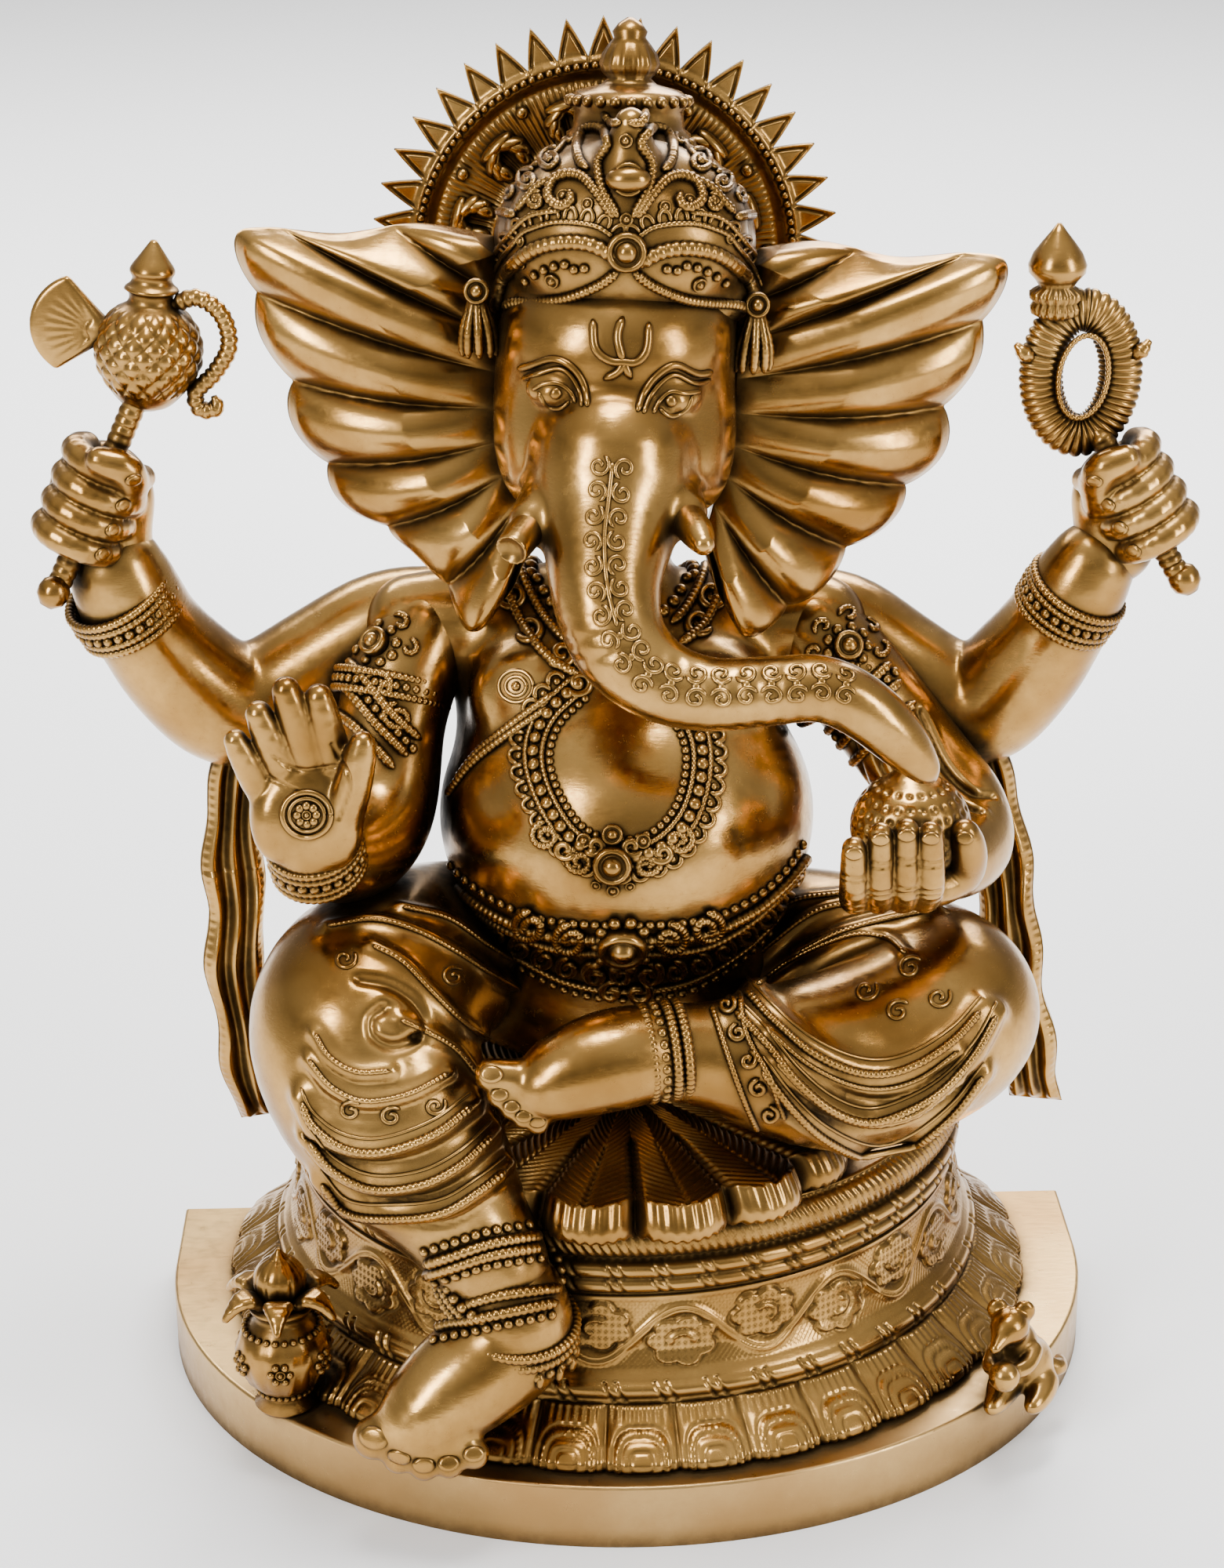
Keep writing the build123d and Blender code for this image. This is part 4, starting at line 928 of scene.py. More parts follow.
# ---------------------------------------------------------------- crown
FINIAL_TURN, FINIAL_FOOT = turning((-8, 1.5, 0)).T, [7, 52, 704]
crown = clay((-75, -62, 600), (84, 92, 772), 1.4)
crown.ball((4, 24, 657), (66, 62, 56)).ball((4, 20, 634), (69, 60, 24), 8)
crown.ball((4, -10, 668), (60, 42, 48), 6).bone((4, -26, 690), (5, -36, 728), 24, 8, 8)
crown.bone((5, 36, 684), (6, 42, 700), 27, 25, 4)
crown = crown.skin(10)
drum, dq, dt = lathe([(26, -20), (29, -6), (31.5, -2), (31.5, 3), (28.5, 5), (27.5, 14), (30, 17),
                      (30, 21), (26, 24), (14, 27), (11, 30),
                      (14, 33), (15.5, 37), (14, 42), (10.5, 47), (8, 50), (9, 53), (6, 57), (1.5, 60)], 72)
ribs = 1 - 0.09 * (drum[:, 2] > 30) * (drum[:,
                                            2] < 47) * np.abs(np.sin(np.arctan2(drum[:, 1], drum[:, 0]) * 7))
drum[:, :2] *= ribs[:, None]
store("look_crown_finial", drum @ FINIAL_TURN + FINIAL_FOOT, dq, dt, nodes=["crown_finial"])
crown.save("look_crown", nodes=["crown", "crown_plaque"])

gems = Trim()
line = [(0, 655), (-14, 662), (-29, 663), (-43, 659), (-54, 649), (-59, 636), (-61, 629)]
for side in (line, [(x, z - 4) for x, z in mirror(line)]):
    gems.lay(crown, side, 3.4, 4.0, flat=1.2)
# Kind, line and radius of each stroke on the crown's left half. Each one is laid mirrored too.
CROWN_STROKES = [
    ("cord", [(0, 649), (-9, 642), (-24, 636), (-38, 634), (-52, 633), (-57, 631)], 2.8),
    ("arch", [(-64, 642), (-61, 649), (-57, 656), (-52, 662), (-47, 668), (-40, 671), (-32, 673), (-24, 673),
              (-16, 672), (-9, 670), (-2, 665)], 3.1),
    ("bead", [(-46, 644), (-40, 648), (-33, 651), (-26, 652), (-21, 649), (-17, 650)], 2.6),
    ("cord", [(0, 675), (-7, 689), (-9, 702), (-4, 712), (-9, 719), (-16, 718),
              (-20, 710), (-18, 702), (-14, 699)], 2.8),
    ("cord", [(-2, 675), (-11, 689), (-19, 696), (-30, 695), (-34, 686),
              (-28, 681), (-23, 684), (-24, 689)], 2.9),
    ("cord", [(-23, 697), (-37, 692), (-45, 684), (-50, 679)], 2.6),
    ("cord", [(-50, 677), (-60, 678), (-66, 668), (-63, 660)], 2.6),
    ("cord", [(2, 722), (-4, 722), (-6, 729), (0, 736), (4, 738)], 2.4),
    ("cord", [(-66, 640), (-64, 652), (-56, 664), (-44, 676), (-28, 679)], 1.7),
    ("cord", [(-42, 700), (-30, 707), (-18, 723), (-8, 736)], 1.9),
]
for kind, line, r in CROWN_STROKES:
    for side in (line, [(x, z - 3 * min((x - 4) / 60, 1)) for x, z in mirror(line, 3.5)]):
        if kind == "cord":
            gems.lay(crown, side, r, 2.6)
        elif kind == "arch":
            gems.lay(crown, side, 1.5, 2.6)
            row = resample(side, 7.4)
            for p, t in zip(row, unit(np.gradient(row, axis=0))):
                d = np.array([-t[1], t[0]]) if t[0] > 0 else np.array([t[1], -t[0]])
                gems.lay(crown, [p - t * 2.7 + d, p - t * 2.7 + d * 5, p + d * 8,
                                 p + t * 2.7 + d * 5, p + t * 2.7 + d], 1.25)
        else:
            gems.row(crown, side, r)
for x, z, r in ((-33, 704, 6), (-24, 716, 5.5), (-44, 694, 5.5),
                (-54, 689, 5), (-40, 684, 4.5), (-13, 728, 4)):
    for about in ((x, z), (7 - x, z - 3 * min((3 - x) / 60, 1))):
        gems.lay(crown, spiral(about, r, 60 if about[0] < 4 else 120,
                               1.5 if about[0] < 4 else -1.5), 1.9, 2.4)
        gems.stud(crown, about, 2.2, shape=BEAD)
for at, r in (((5, 694), 8.5), ((4, 658), 10), ((4, 674), 3.4),
              ((4, 713), 3.6), ((2, 729), 3), ((10, 729), 3),
              ((-15, 682), 3.2), ((23, 680), 3.2), ((-27, 686), 3.6),
              ((35, 683), 3.6), ((-33, 644), 4), ((40, 641), 4)):
    gems.stud(crown, at, r)
gems.stamp(lathe([(1, -0.4), (1, 0.1), (0.7, 0.5), (0.3, 0.75)], 20),
           *[v[0] for v in crown.drop([(5, 694)], 2.5)], (6.5, 11, 7), along=(0, 0, 1))
for x in (-48, 55):
    for z in (653, 664):
        gems.stud(crown, (x, z), 3.0)
for k in range(14):
    w = math.pi * (k + 0.5) / 14
    for h in (0, 13):
        places, normals = crown.cling([(4 + 75 * math.cos(w), 30 + 70 * math.sin(w), 632 + h)])
        gems.stamp(STUD, places[0], normals[0], 5.0 - h * 0.1)
for h, r in ((-2, 31.5), (19, 30)):
    for k in range(24):
        w = 2 * math.pi * k / 24
        p = np.array([r * math.cos(w), r * math.sin(w), h]) @ FINIAL_TURN + FINIAL_FOOT
        gems.stamp(BEAD, p, unit(np.array([math.cos(w), math.sin(w), 0.0])), 3.1)
gems.save("look_crown_ornament")


# ---------------------------------------------------------------- halo
HALO_X, HALO_BACK, HALO_Z = -3.5, 110.0, 633.5


def halo():
    n, m = int(1040 / FINE), int(84 / FINE)
    a = np.linspace(0, 2 * math.pi, n, endpoint=False)
    ray = (a / (2 * math.pi) * 40 + 0.5) % 1.0 - 0.5
    reach = 103 + 20.5 * (1 - 2 * np.abs(ray))
    rows, back = [], []
    for i in range(m):
        f = i / (m - 1)
        r = f * reach + (1 - f) * 5.0
        z = 3.0 * hump(r - 101, 2.2) + 2.2 * hump(r - 96.5,
            1.3) + 2.6 * hump(r - 60, 2.4) + 1.6 * hump(r - 54, 1.4)
        z = z - 1.2 * hump(r - 91, 1.5) + 0.5 * np.sin(r * 2.4) * (r > 20) * (r < 52)
        inside = np.where(r > 104, hump(np.abs(ray) * 2 - np.clip(0.72 - (r - 104) / 20.5, 0, 1), 0.09), 0)
        z = z - 1.6 * inside * (r < 118) + 0.35 * np.cos(a * 160) * (r > 62) * (r < 90)
        z = z * min(1.0, (1 - f) * 25)
        y = HALO_BACK - 4 - z
        ring = np.stack([HALO_X + r * np.sin(a), y, HALO_Z + r * np.cos(a)], 1)
        rows.append(ring)
        if i in (0, 1, m - 2, m - 1):
            back.append(np.stack([ring[:, 0], np.full(n, HALO_BACK), ring[:, 2]], 1))
    q = weave(m, n)
    k = np.arange(n)
    j = (k + 1) % n
    o = m * n
    hub = np.stack([k, k + o, j + o, j], 1)
    rim = np.stack([(m - 1) * n + k, (m - 1) * n + j, 3 * n + j + o, 3 * n + k + o], 1)
    flat = np.concatenate([np.stack([k + o, k + n + o, j + n + o, j + o], 1) + ring * n for ring in range(3)])
    store("look_halo", np.concatenate(rows + back), np.concatenate([q, flat, hub, rim]), nodes=["halo"])
    leaves = Trim()
    for leaf in range(12):
        w = 2 * math.pi * (leaf + 0.5) / 12
        c = np.array([HALO_X + 78 * math.sin(w), 103.5, HALO_Z + 78 * math.cos(w)])
        stalk = c - 9 * np.array([math.sin(w), 0, math.cos(w)])
        for lobe in range(7):
            b = w + math.radians((lobe - 3) * 33)
            d = np.array([math.sin(b), 0, math.cos(b)])
            long = (6.5, 8.0, 9.5, 11.0, 9.5, 8.0, 6.5)[lobe]
            leaves.stamp(lathe([(1, -0.6), (1, 0), (0.7, 0.55), (0.25, 0.9)], 16),
                         stalk + d * long, FRONT, (3.9, long, 4.2), along=d)
        for o in (-0.13, 0.13):
            p = np.array([HALO_X + 69 * math.sin(w + math.pi / 12 + o), 104,
                          HALO_Z + 69 * math.cos(w + math.pi / 12 + o)])
            leaves.stamp(BEAD, p, FRONT, 3.2)
        p = np.array([HALO_X + 86 * math.sin(w + math.pi / 12), 104,
                      HALO_Z + 86 * math.cos(w + math.pi / 12)])
        leaves.stamp(BEAD, p, FRONT, 3.6)
    ring = np.array([[HALO_X + 99 * math.sin(w), 103.4, HALO_Z + 99 * math.cos(w)]
                     for w in np.linspace(0, 2 * math.pi, 130)])
    for p in ring[:-1]:
        leaves.stamp(BEAD, p, FRONT, 2.1)
    leaves.save("look_halo_leaves", nodes=["halo_leaf_garland"])


halo()

# ---------------------------------------------------------------- attributes
sweet = clay((105, -108, 340), (185, -30, 412), 1.1)
sweet.ball((145, -70, 375), (31, 29, 29)).bone((144, -69, 392), (143, -69, 404), 10, 5, 9)
sweet = sweet.skin(5)
pits = []
for ring in range(9):
    h = 24 - 6 * ring
    r = math.sqrt(30**2 - h**2)
    count = int(2 * math.pi * r / 6.2)
    pits += [(145 + r * math.cos(w), -70 + r * math.sin(w), 375 + h)
             for w in (2 * math.pi * (k + ring * 0.5) / count for k in range(count))]
sweet.press(sweet.cling(pits)[0], 1.5, 1.3)
sweet.stand_in("modak")

ewer = Trim()
outline = [(7, -31), (13, -28), (20, -20), (25.5, -10), (27, 0), (25, 10), (19, 19), (12, 24), (11.5, 29),
           (14, 31), (11, 34), (10, 37), (11.5, 41), (7, 48), (1.5, 56)]
body, bq, bt = lathe([tuple(p) for p in resample(outline, 1.2)], 168)
w = np.arctan2(body[:, 1], body[:, 0])
cut = np.where(np.abs(body[:, 2]) < 21,
               np.abs(np.sin(w * 7 + body[:, 2] * 0.27)) ** 0.4
               * np.abs(np.sin(w * 7 - body[:, 2] * 0.27)) ** 0.4, 0.55)
body[:, :2] *= (1 + 0.09 * cut - 0.05)[:, None]
ewer.put(body @ turning((0, 6, 0)).T + [-238, 24, 606], bq, bt)
handle = resample([(-226, 22, 628), (-212, 20, 633), (-200, 20, 624), (-197, 20, 608), (-205, 20, 594),
                   (-215, 20, 584), (-213, 20, 575), (-205, 20, 576), (-206, 20, 582)], 1.0)
ewer.cord(handle, FRONT, 4.8, 4.2, sides=14)
stem = resample([(-240, 19.0, 590), EWER_STEM[0], EWER_STEM[1], (-291, 5, 486), (-297, 0, 479)], 1.0)
ewer.cord(stem, FRONT, 6.5, 5.0, sides=16, depth=0.14)
ewer.stamp(KNOB, (-292, 3, 484), (-0.5, -0.25, -0.8), 8.5)
blade = clay((-312, 5, 590), (-250, 45, 645), 1.0)
for deg in range(110, 236, 6):
    w = math.radians(deg)
    tip = (-268 + 27 * math.cos(w), 25, 618 + 25 * math.sin(w))
    blade.bone((-260, 25, 616), tip, 5.0, 2.6, 1.5)
blade.bone((-246, 25, 612), (-262, 25, 616), 8, 6, 2)
blade = blade.skin(5)
for deg in range(116, 232, 12):
    w = math.radians(deg)
    blade.press(np.array([(-264 + s * math.cos(w), 20, 617 + s * math.sin(w))
                          for s in np.linspace(6, 24, 16)]), 1.3, 1.2)
blade.save("look_axe_blade")
ewer.save("look_ewer", nodes=["ewer_with_axe"])

loop = Trim()
w = np.linspace(0, 2 * math.pi, int(420 / FINE))
path = np.stack([238 + 20.5 * np.sin(w) + 1.5 * np.cos(w), 25 + 0 * w,
                 586 + 33 * np.cos(w) - 2.5 * np.sin(w)], 1)
loop.cord(path, FRONT, 8.0, 3.6, flat=1.45, depth=0.17, sides=26, taper=False)
INSET = 0.62
edge = np.stack([238 + 20.5 * INSET * np.sin(w) + 1.5 * np.cos(w), 16.5 + 0 * w,
                 586 + 33 * (0.9 * INSET + 0.1) * np.cos(w)], 1)
loop.cord(edge, FRONT, 1.7, 2.6, taper=False)
cone, cq, ct = lathe([(7, -6), (12, -3), (12.5, 0), (11, 3), (13, 5), (13, 8), (9, 11), (11, 14), (14.5, 18),
                      (15, 22), (12.5, 28), (8, 34), (4, 39), (1.2, 43)], 72)
cone[:, :2] *= (1 + 0.07 * np.sin(np.arctan2(cone[:, 1], cone[:, 0]) * 18) * (cone[:, 2] < 10))[:, None]
loop.put(cone + [223.5, 24, 621], cq, ct)
for a, b in (((214, 23, 596), (203, 20, 603)), ((262, 23, 596), (272, 20, 604))):
    horn = resample([a, np.array(a) * 0.5 + np.array(b) * 0.5 + [0, -2, -2], b], 1.0)
    loop.cord(horn, FRONT, 4.6, 3.0)
stem = resample([(247, 20.5, 560), NOOSE_STEM[0], NOOSE_STEM[1], (290, 7, 484), (298, 5, 474)], 1.0)
loop.cord(stem, FRONT, 6.5, 5.0, sides=16, depth=0.14)
loop.stamp(KNOB, (294, 6, 480), (0.5, -0.2, -0.8), 8.5)
loop.stand_in("noose")

# ---------------------------------------------------------------- offering pot, mouse
pot, pq, pt = lathe([(15, 0), (17, 3), (12, 7), (13, 11), (21, 20), (25, 31), (25.5, 38), (22, 48), (15, 54),
                     (13, 57), (17, 61), (18, 64), (14, 65)], 80)
w = np.arctan2(pot[:, 1], pot[:, 0])
pot[:, :2] *= (1 + 0.03 * np.abs(np.sin(w * 8)) * (pot[:, 2] > 12) * (pot[:, 2] < 48))[:, None]
POT = np.array([-188.0, -65.0, 37.0])
pots = Trim()
pots.put(pot + POT, pq, pt)
for h, r in ((50, 20.5), (12, 14.5)):
    for k in range(26):
        a = 2 * math.pi * k / 26
        pots.stamp(BEAD, POT + [r * math.cos(a), r * math.sin(a), h], (math.cos(a), math.sin(a), 0.3), 2.0)
for k in range(6):
    a = -math.pi / 2 + 2 * math.pi * k / 6
    for p in range(6):
        b = 2 * math.pi * p / 6
        u = np.array([-math.sin(a), math.cos(a), 0]) * math.cos(b) + np.array([0, 0, 1]) * math.sin(b)
        pots.stamp(BEAD, POT + np.array([25.6 * math.cos(a), 25.6 * math.sin(a), 34]) + u * 5,
                   (math.cos(a), math.sin(a), 0), 2.3)
    pots.stamp(STUD, POT + [25.8 * math.cos(a), 25.8 * math.sin(a), 34], (math.cos(a), math.sin(a), 0), 3.0)
pots.save("look_pot", nodes=["offering_pot"])
leaf_bunch = clay(POT + [-42, -42, 52], POT + [42, 42, 100], 1.1)
for k in range(6):
    a = -math.pi / 2 + 2 * math.pi * k / 6
    d = np.array([math.cos(a), math.sin(a), 0])
    s = np.array([-math.sin(a), math.cos(a), 0])
    for o in (-5, -2.5, 0, 2.5, 5):
        leaf_bunch.chain([(*(POT + d * 10 + s * o * 0.5 + [0, 0, 64]), 3.0),
                          (*(POT + d * 19 + s * o + [0, 0, 72]), 3.0),
                          (*(POT + d * 27 + s * o * 0.5 + [0, 0, 70]), 2.4),
                          (*(POT + d * 33 + [0, 0, 64]), 1.6)], 1.5, 4)
leaf_bunch = leaf_bunch.skin(4)
leaf_bunch.stand_in("pot_leaves")
nut = clay(POT + [-20, -20, 62], POT + [20, 20, 102], 1.0)
nut.ball(POT + [0, 0, 78], (14.5, 14.5, 14)).bone(POT + [0, 0, 84], POT + [0, 0, 95], 9, 2.2, 4)
nut = nut.skin(4)
for k in range(12):
    a = 2 * math.pi * k / 12
    nut.press(np.array([POT
                        + [15 * math.cos(a) * math.cos(e),
                           15 * math.sin(a) * math.cos(e), 79 + 14 * math.sin(e)]
                        for e in np.linspace(-0.5, 1.2, 24)]), 0.9, 0.9)
nut.save("look_coconut", nodes=["pot_coconut"])

rat = clay((182, -108, 34), (246, -36, 108), 1.1)
rat.ball((216, -64, 52), (17, 17, 17)).ball((211, -70, 66), (12.5, 13, 15),
                                            6).ball((206, -78, 84), (10.5, 11, 10), 5)
rat.bone((202, -83, 83), (196, -93, 79), 7, 3.2, 4)
rat.ball((200, -72, 91), (6, 3.4, 6.5), 2.5).ball((214, -75, 91), (6, 3.4, 6.5), 2.5)
rat.chain([(200, -76, 68, 4.6), (195, -85, 64, 4), (196, -93, 66, 3.6)], 2, 3)
rat.chain([(220, -78, 68, 4.6), (214, -88, 64, 4), (205, -95, 65, 3.6)], 2, 3)
rat.chain([(206, -72, 44, 9), (200, -84, 41, 5), (196, -90, 40, 4)], 4,
          3).chain([(226, -72, 44, 9), (222, -84, 41, 5), (218, -90, 40, 4)], 4, 3)
rat.chain([(228, -56, 46, 5), (238, -54, 42, 4), (240, -44, 41, 3)], 2, 3)
rat = rat.skin(4)
rat.stand_in("mouse")
ball = clay((188, -112, 50), (216, -84, 78), 1.0)
ball.ball((201, -97, 64), 8.5)
ball.skin(3).save("look_mouse_ball", nodes=["mouse_sweet_ball"])


# ---------------------------------------------------------------- bands round the limbs
def band(trim, centre, axis, radius, rows, squash=1.0):
    """Rings about a limb: rows of (offset along the axis, cord radius, rib pitch or -1 for beads)."""
    axis = unit(np.array(axis, float))
    u = unit(np.cross(axis, [0.3, 1.0, 0.2]))
    v = np.cross(axis, u)
    for offset, r, pitch in rows:
        big = radius + r * 0.35
        n = max(int(2 * math.pi * big / (pitch / 5 if pitch > 0 else 2.0 * r)), 12)
        w = np.linspace(0, 2 * math.pi, n + 1)[:, None]
        out = np.cos(w) * u + np.sin(w) * v * squash
        path = np.array(centre, float) + axis * offset + out * big
        if pitch > 0:
            trim.cord(path, out, r, pitch, taper=False)
        else:
            for p, o in zip(path[:-1], out[:-1]):
                trim.stamp(BEAD, p, o, r)


ROWS = [(-9, 2.6, 3.2), (-4.4, 2.6, 3.2), (0, 3.0, -1), (4.4, 2.6, 3.2), (9, 2.6, 3.2)]
for name, centre, axis, radius in (
    ("right_wrist_bangle", (-259, 30, 468), (-0.4, -0.3, 0.86), 27.5),
    ("left_wrist_bangle", (239, 30, 461), (0.4, -0.3, 0.86), 25),
    ("right_sleeve_cuff", (-158, -70, 366), (-0.1, -0.45, 0.89), 22),
):
    trim = Trim()
    band(trim, centre, axis, radius, ROWS)
    trim.stand_in(name)
for side, skin, lines, beads, name in (
    (1, right_front_arm, [[(-148, 436), (-139, 425), (-128, 409), (-113, 391)],
                          [(-143, 447), (-132, 433), (-120, 415), (-106, 400)],
                          [(-152, 419), (-140, 409), (-129, 396), (-120, 384)]],
     [[(-146, 441), (-136, 429), (-124, 412), (-110, 395)]], "right_armlet"),
    (-1, left_front_arm, [[(112, 388), (124, 403), (135, 418), (146, 428)],
                          [(107, 398), (118, 413), (130, 428), (140, 438)],
                          [(118, 378), (131, 392), (143, 406), (154, 416)]],
     [[(110, 393), (121, 408), (133, 423), (143, 433)]], "left_armlet"),
):
    trim = Trim()
    for line in lines:
        trim.lay(skin, line, 3.0, 3.4)
    for line in beads:
        trim.row(skin, line, 2.8)
    centre = (-121, 30, 417) if side > 0 else (119, 38, 414)
    axis = (-0.2, -0.4, -0.9) if side > 0 else (0.6, -0.2, -0.77)
    band(trim, centre, axis, 29.5, [(-6, 2.5, 3.2), (-1, 2.7, -1), (4, 2.5, 3.2)])
    for line in (spiral((-117, 413), 8, 90, 1.4),
                 spiral((-127, 432), 7.5, -60, 1.4)) if side > 0 else (spiral((127, 409), 8, 90, -1.4),):
        trim.lay(skin, line, 2.3, 2.4)
    cx, cz = (-127, 454) if side > 0 else (118, 448)
    trim.stud(skin, (cx, cz), 8.0, lift=0.4)
    for k in range(9):
        a = 2 * math.pi * k / 9
        trim.stud(skin, (cx + 10.5 * math.cos(a), cz + 10.5 * math.sin(a)), 3.1, shape=BEAD)
        if k < 5:
            a = math.pi * (k / 4 * 1.1 - 0.05)
            trim.lay(skin, spiral((cx + 17 * math.cos(a), cz + 17 * math.sin(a)), 5,
                                  math.degrees(a) + 90, -0.9), 1.9, 2.4)
    trim.stand_in(name)
anklets = Trim()
band(anklets, (-69, -113, 143), (0.25, -0.5, 0.85), 30.5, [(-9, 3.4, 3.4), (-2.5, 3.2, 3.4), (4, 3.2, -1)])
for drop, r in ((8, 2.8), (0, 3.4), (-7.5, 3.4), (-14, 2.8)):
    line = [(-112, 85 + drop), (-97, 90 + drop), (-75, 97 + drop), (-48, 101 + drop)]
    if r > 3:
        anklets.lay(right_leg, line, r, 3.6)
    else:
        anklets.row(right_leg, line, r)
anklets.stand_in("right_upper_anklet")
anklets = Trim()
band(anklets, (-62, -118, 117), (0.1, -0.2, 0.97), 31, [(-9, 3.6, -1), (-2.5, 3.4, 3.4), (4, 3.2, 3.4)])
for k in range(16):
    w = 2 * math.pi * k / 16
    p = np.array([-61 + 31 * math.cos(w), -118 + 31 * math.sin(w), 101])
    anklets.cord(np.array([p + [0, 0, 3], p + [0, 0, -1], p + [0, 0, -4], p + [0, 0, -7]]),
                 (math.cos(w), math.sin(w), 0), 2.6)
for line in ([(-107, 50), (-76, 62), (-37, 67)], [(-107, 42), (-82, 49), (-39, 58)]):
    anklets.lay(right_foot, line, 3.4, 3.6)
anklets.row(right_foot, [(-108, 35), (-83, 41), (-42, 50)], 2.8)
anklets.stand_in("right_lower_anklet")
anklets = Trim()
band(anklets, (16, -106, 268), (0.95, 0.15, 0.05), 22.5,
     [(-8, 3.2, 3.2), (-2, 3.0, -1), (4, 3.2, 3.2), (10, 3.2, 3.2)])
anklets.stand_in("left_anklet")

# ---------------------------------------------------------------- cords, garlands and cloth lines on the body
work = Trim()
lay = work.lay
BROW = [(-51, 599), (-43, 601), (-33, 604), (-24, 600), (-18, 591), (-16, 579)]
for line, r in ((BROW, 2.0), ([(-49, 594), (-41, 596), (-31, 599), (-25, 596), (-20, 587), (-19, 579)], 1.5),
                ([(-44, 588), (-38, 591), (-31, 591), (-25, 587), (-22, 581)], 1.3),
                ([(-41, 587), (-37, 580), (-30, 578), (-25, 582)], 1.3),
                ([(47, 596), (39, 595), (28, 600), (18, 594), (12, 585), (9, 576)], 2.0),
                ([(46, 592), (38, 590), (28, 595), (21, 591), (15, 583), (12, 575)], 1.5),
                ([(41, 586), (33, 585), (26, 586), (20, 581), (17, 575)], 1.3),
                ([(37, 584), (34, 577), (26, 573), (20, 577)], 1.3)):
    lay(head, line, r, lift=0.1)
for at in ((-32, 586), (26, 581)):
    work.stud(head, at, 3.0, shape=BEAD, squash=0.5)
for line in ([(-13, 624), (-12, 609), (-4, 602), (2, 602), (8, 601), (14, 608), (15, 622)],
             [(2, 625), (-1, 615), (2, 602)], [(2, 603), (0, 597), (-8, 593)],
             [(2, 603), (4, 597), (6, 593)]):
    lay(head, line, 2.3, lift=0.1)
scroll_line = [(-4, 547), (-6, 529), (-8, 512), (-8, 495), (-6, 478), (-2, 461)]
lay(head, scroll_line, 1.4, lift=0.0)
places, normals = head.drop(resample(scroll_line
                                     + [(3, 448), (13, 435), (28, 429), (48, 427), (69, 428),
                                        (89, 428), (106, 429), (118, 427)], 13))
for k, (p, n) in enumerate(zip(places, normals)):
    along = unit(places[min(k + 1, len(places) - 1)] - places[max(k - 1, 0)])
    side = unit(np.cross(n, along))
    way = 1 if k % 2 else -1
    for sgn in (-1, 1):
        curl = []
        for f in np.linspace(0, 1, 22):
            turn, rr = 2 * math.pi * 1.25 * f - 1.2, 5.6 * (1 - 0.78 * f)
            curl.append(p + side * sgn * (6.5 - rr * math.cos(turn))
                        + along * way * sgn * rr * math.sin(turn))
        q, m = head.cling(curl)
        work.cord(q, unit(steady(m, 4)), 1.15)
    work.stamp(BEAD, p, n, 2.2, squash=0.5)
head.save("look_head", nodes=["head_and_trunk"])

# Lotus rosette on the open palm.
palm_x, palm_z = to_plane((-160, -98, 399))
for radius, r in ((13, 1.6), (9.5, 1.2)):
    turn = np.linspace(0, 2 * math.pi, 26)
    lay(right_hand, [(palm_x + radius * math.cos(a), palm_z + radius * math.sin(a))
                     for a in turn], r, lift=0.1, taper=False)
work.wreath(right_hand, (palm_x, palm_z), 5.2, 8, 2.4, squash=0.7)
work.stud(right_hand, (palm_x, palm_z), 2.6)
right_hand.save("look_right_hand", nodes=["right_front_hand"])


def nail(skin, at, r):
    work.stamp(lathe([(1, -0.4), (0.95, 0.2), (0.6, 0.32)], 14), *[v[0] for v in skin.drop([at])],
               (r, r * 1.35, r * 0.8), along=(0, 0, 1))


for i, (x, z) in enumerate(((124, 330), (138, 338), (152, 340), (165, 338), (183, 338))):
    nail(left_hand, (x, z), 3.6)
    for dz in (13, 16, 30, 33):
        if i < 4:
            left_hand.engrave([[(x - 6, z - dz), (x, z - dz - 1), (x + 6, z - dz)]], 0.8, 0.8)
left_hand.save("look_left_hand", nodes=["left_front_hand"])
for skin, sign in ((right_fist, -1), (left_fist, 1)):
    for tip in skin.tips:
        nail(skin, to_plane(tip), 3.5)
    skin.save("look_right_fist" if sign < 0 else "look_left_fist",
              nodes=["right_rear_hand" if sign < 0 else "left_rear_hand"])

# Neck rows, each side.
NECK = [
    ([(-50, 508), (-43, 487), (-33, 470), (-24, 456)],
     [(40, 507), (36, 490), (28, 475), (22, 469)], 3.4, "bead"),
    ([(-55, 504), (-48, 483), (-37, 463), (-24, 448)],
     [(46, 503), (42, 486), (34, 471), (26, 462)], 3.0, "cord"),
    ([(-62, 498), (-58, 480), (-48, 458), (-36, 443), (-22, 434)],
     [(53, 497), (50, 477), (42, 460), (30, 450)], 3.0, "cord"),
]
collar = Trim()
for left, right, r, kind in NECK:
    for line in (left, right):
        if kind == "bead":
            collar.row(torso, line, r)
        else:
            collar.lay(torso, line, r, 3.2)
spots = ((-56, 479, 1), (-47, 460, 1), (-31, 446, 1), (-22, 430, 1), (47, 477, -1), (40, 462, -1))
collar.curls(torso, spots, 7.5, 1.5, (200, -20), 2.2)
for k in range(26):
    w = math.radians(200 * (k - 12.5) / 25)
    q, n = torso.cling([(-3 + 44 * math.sin(w), 48 + 44 * math.cos(w), 470)])
    collar.stamp(BEAD, q[0], n[0], 4.2)
collar.stand_in("neck_collar")

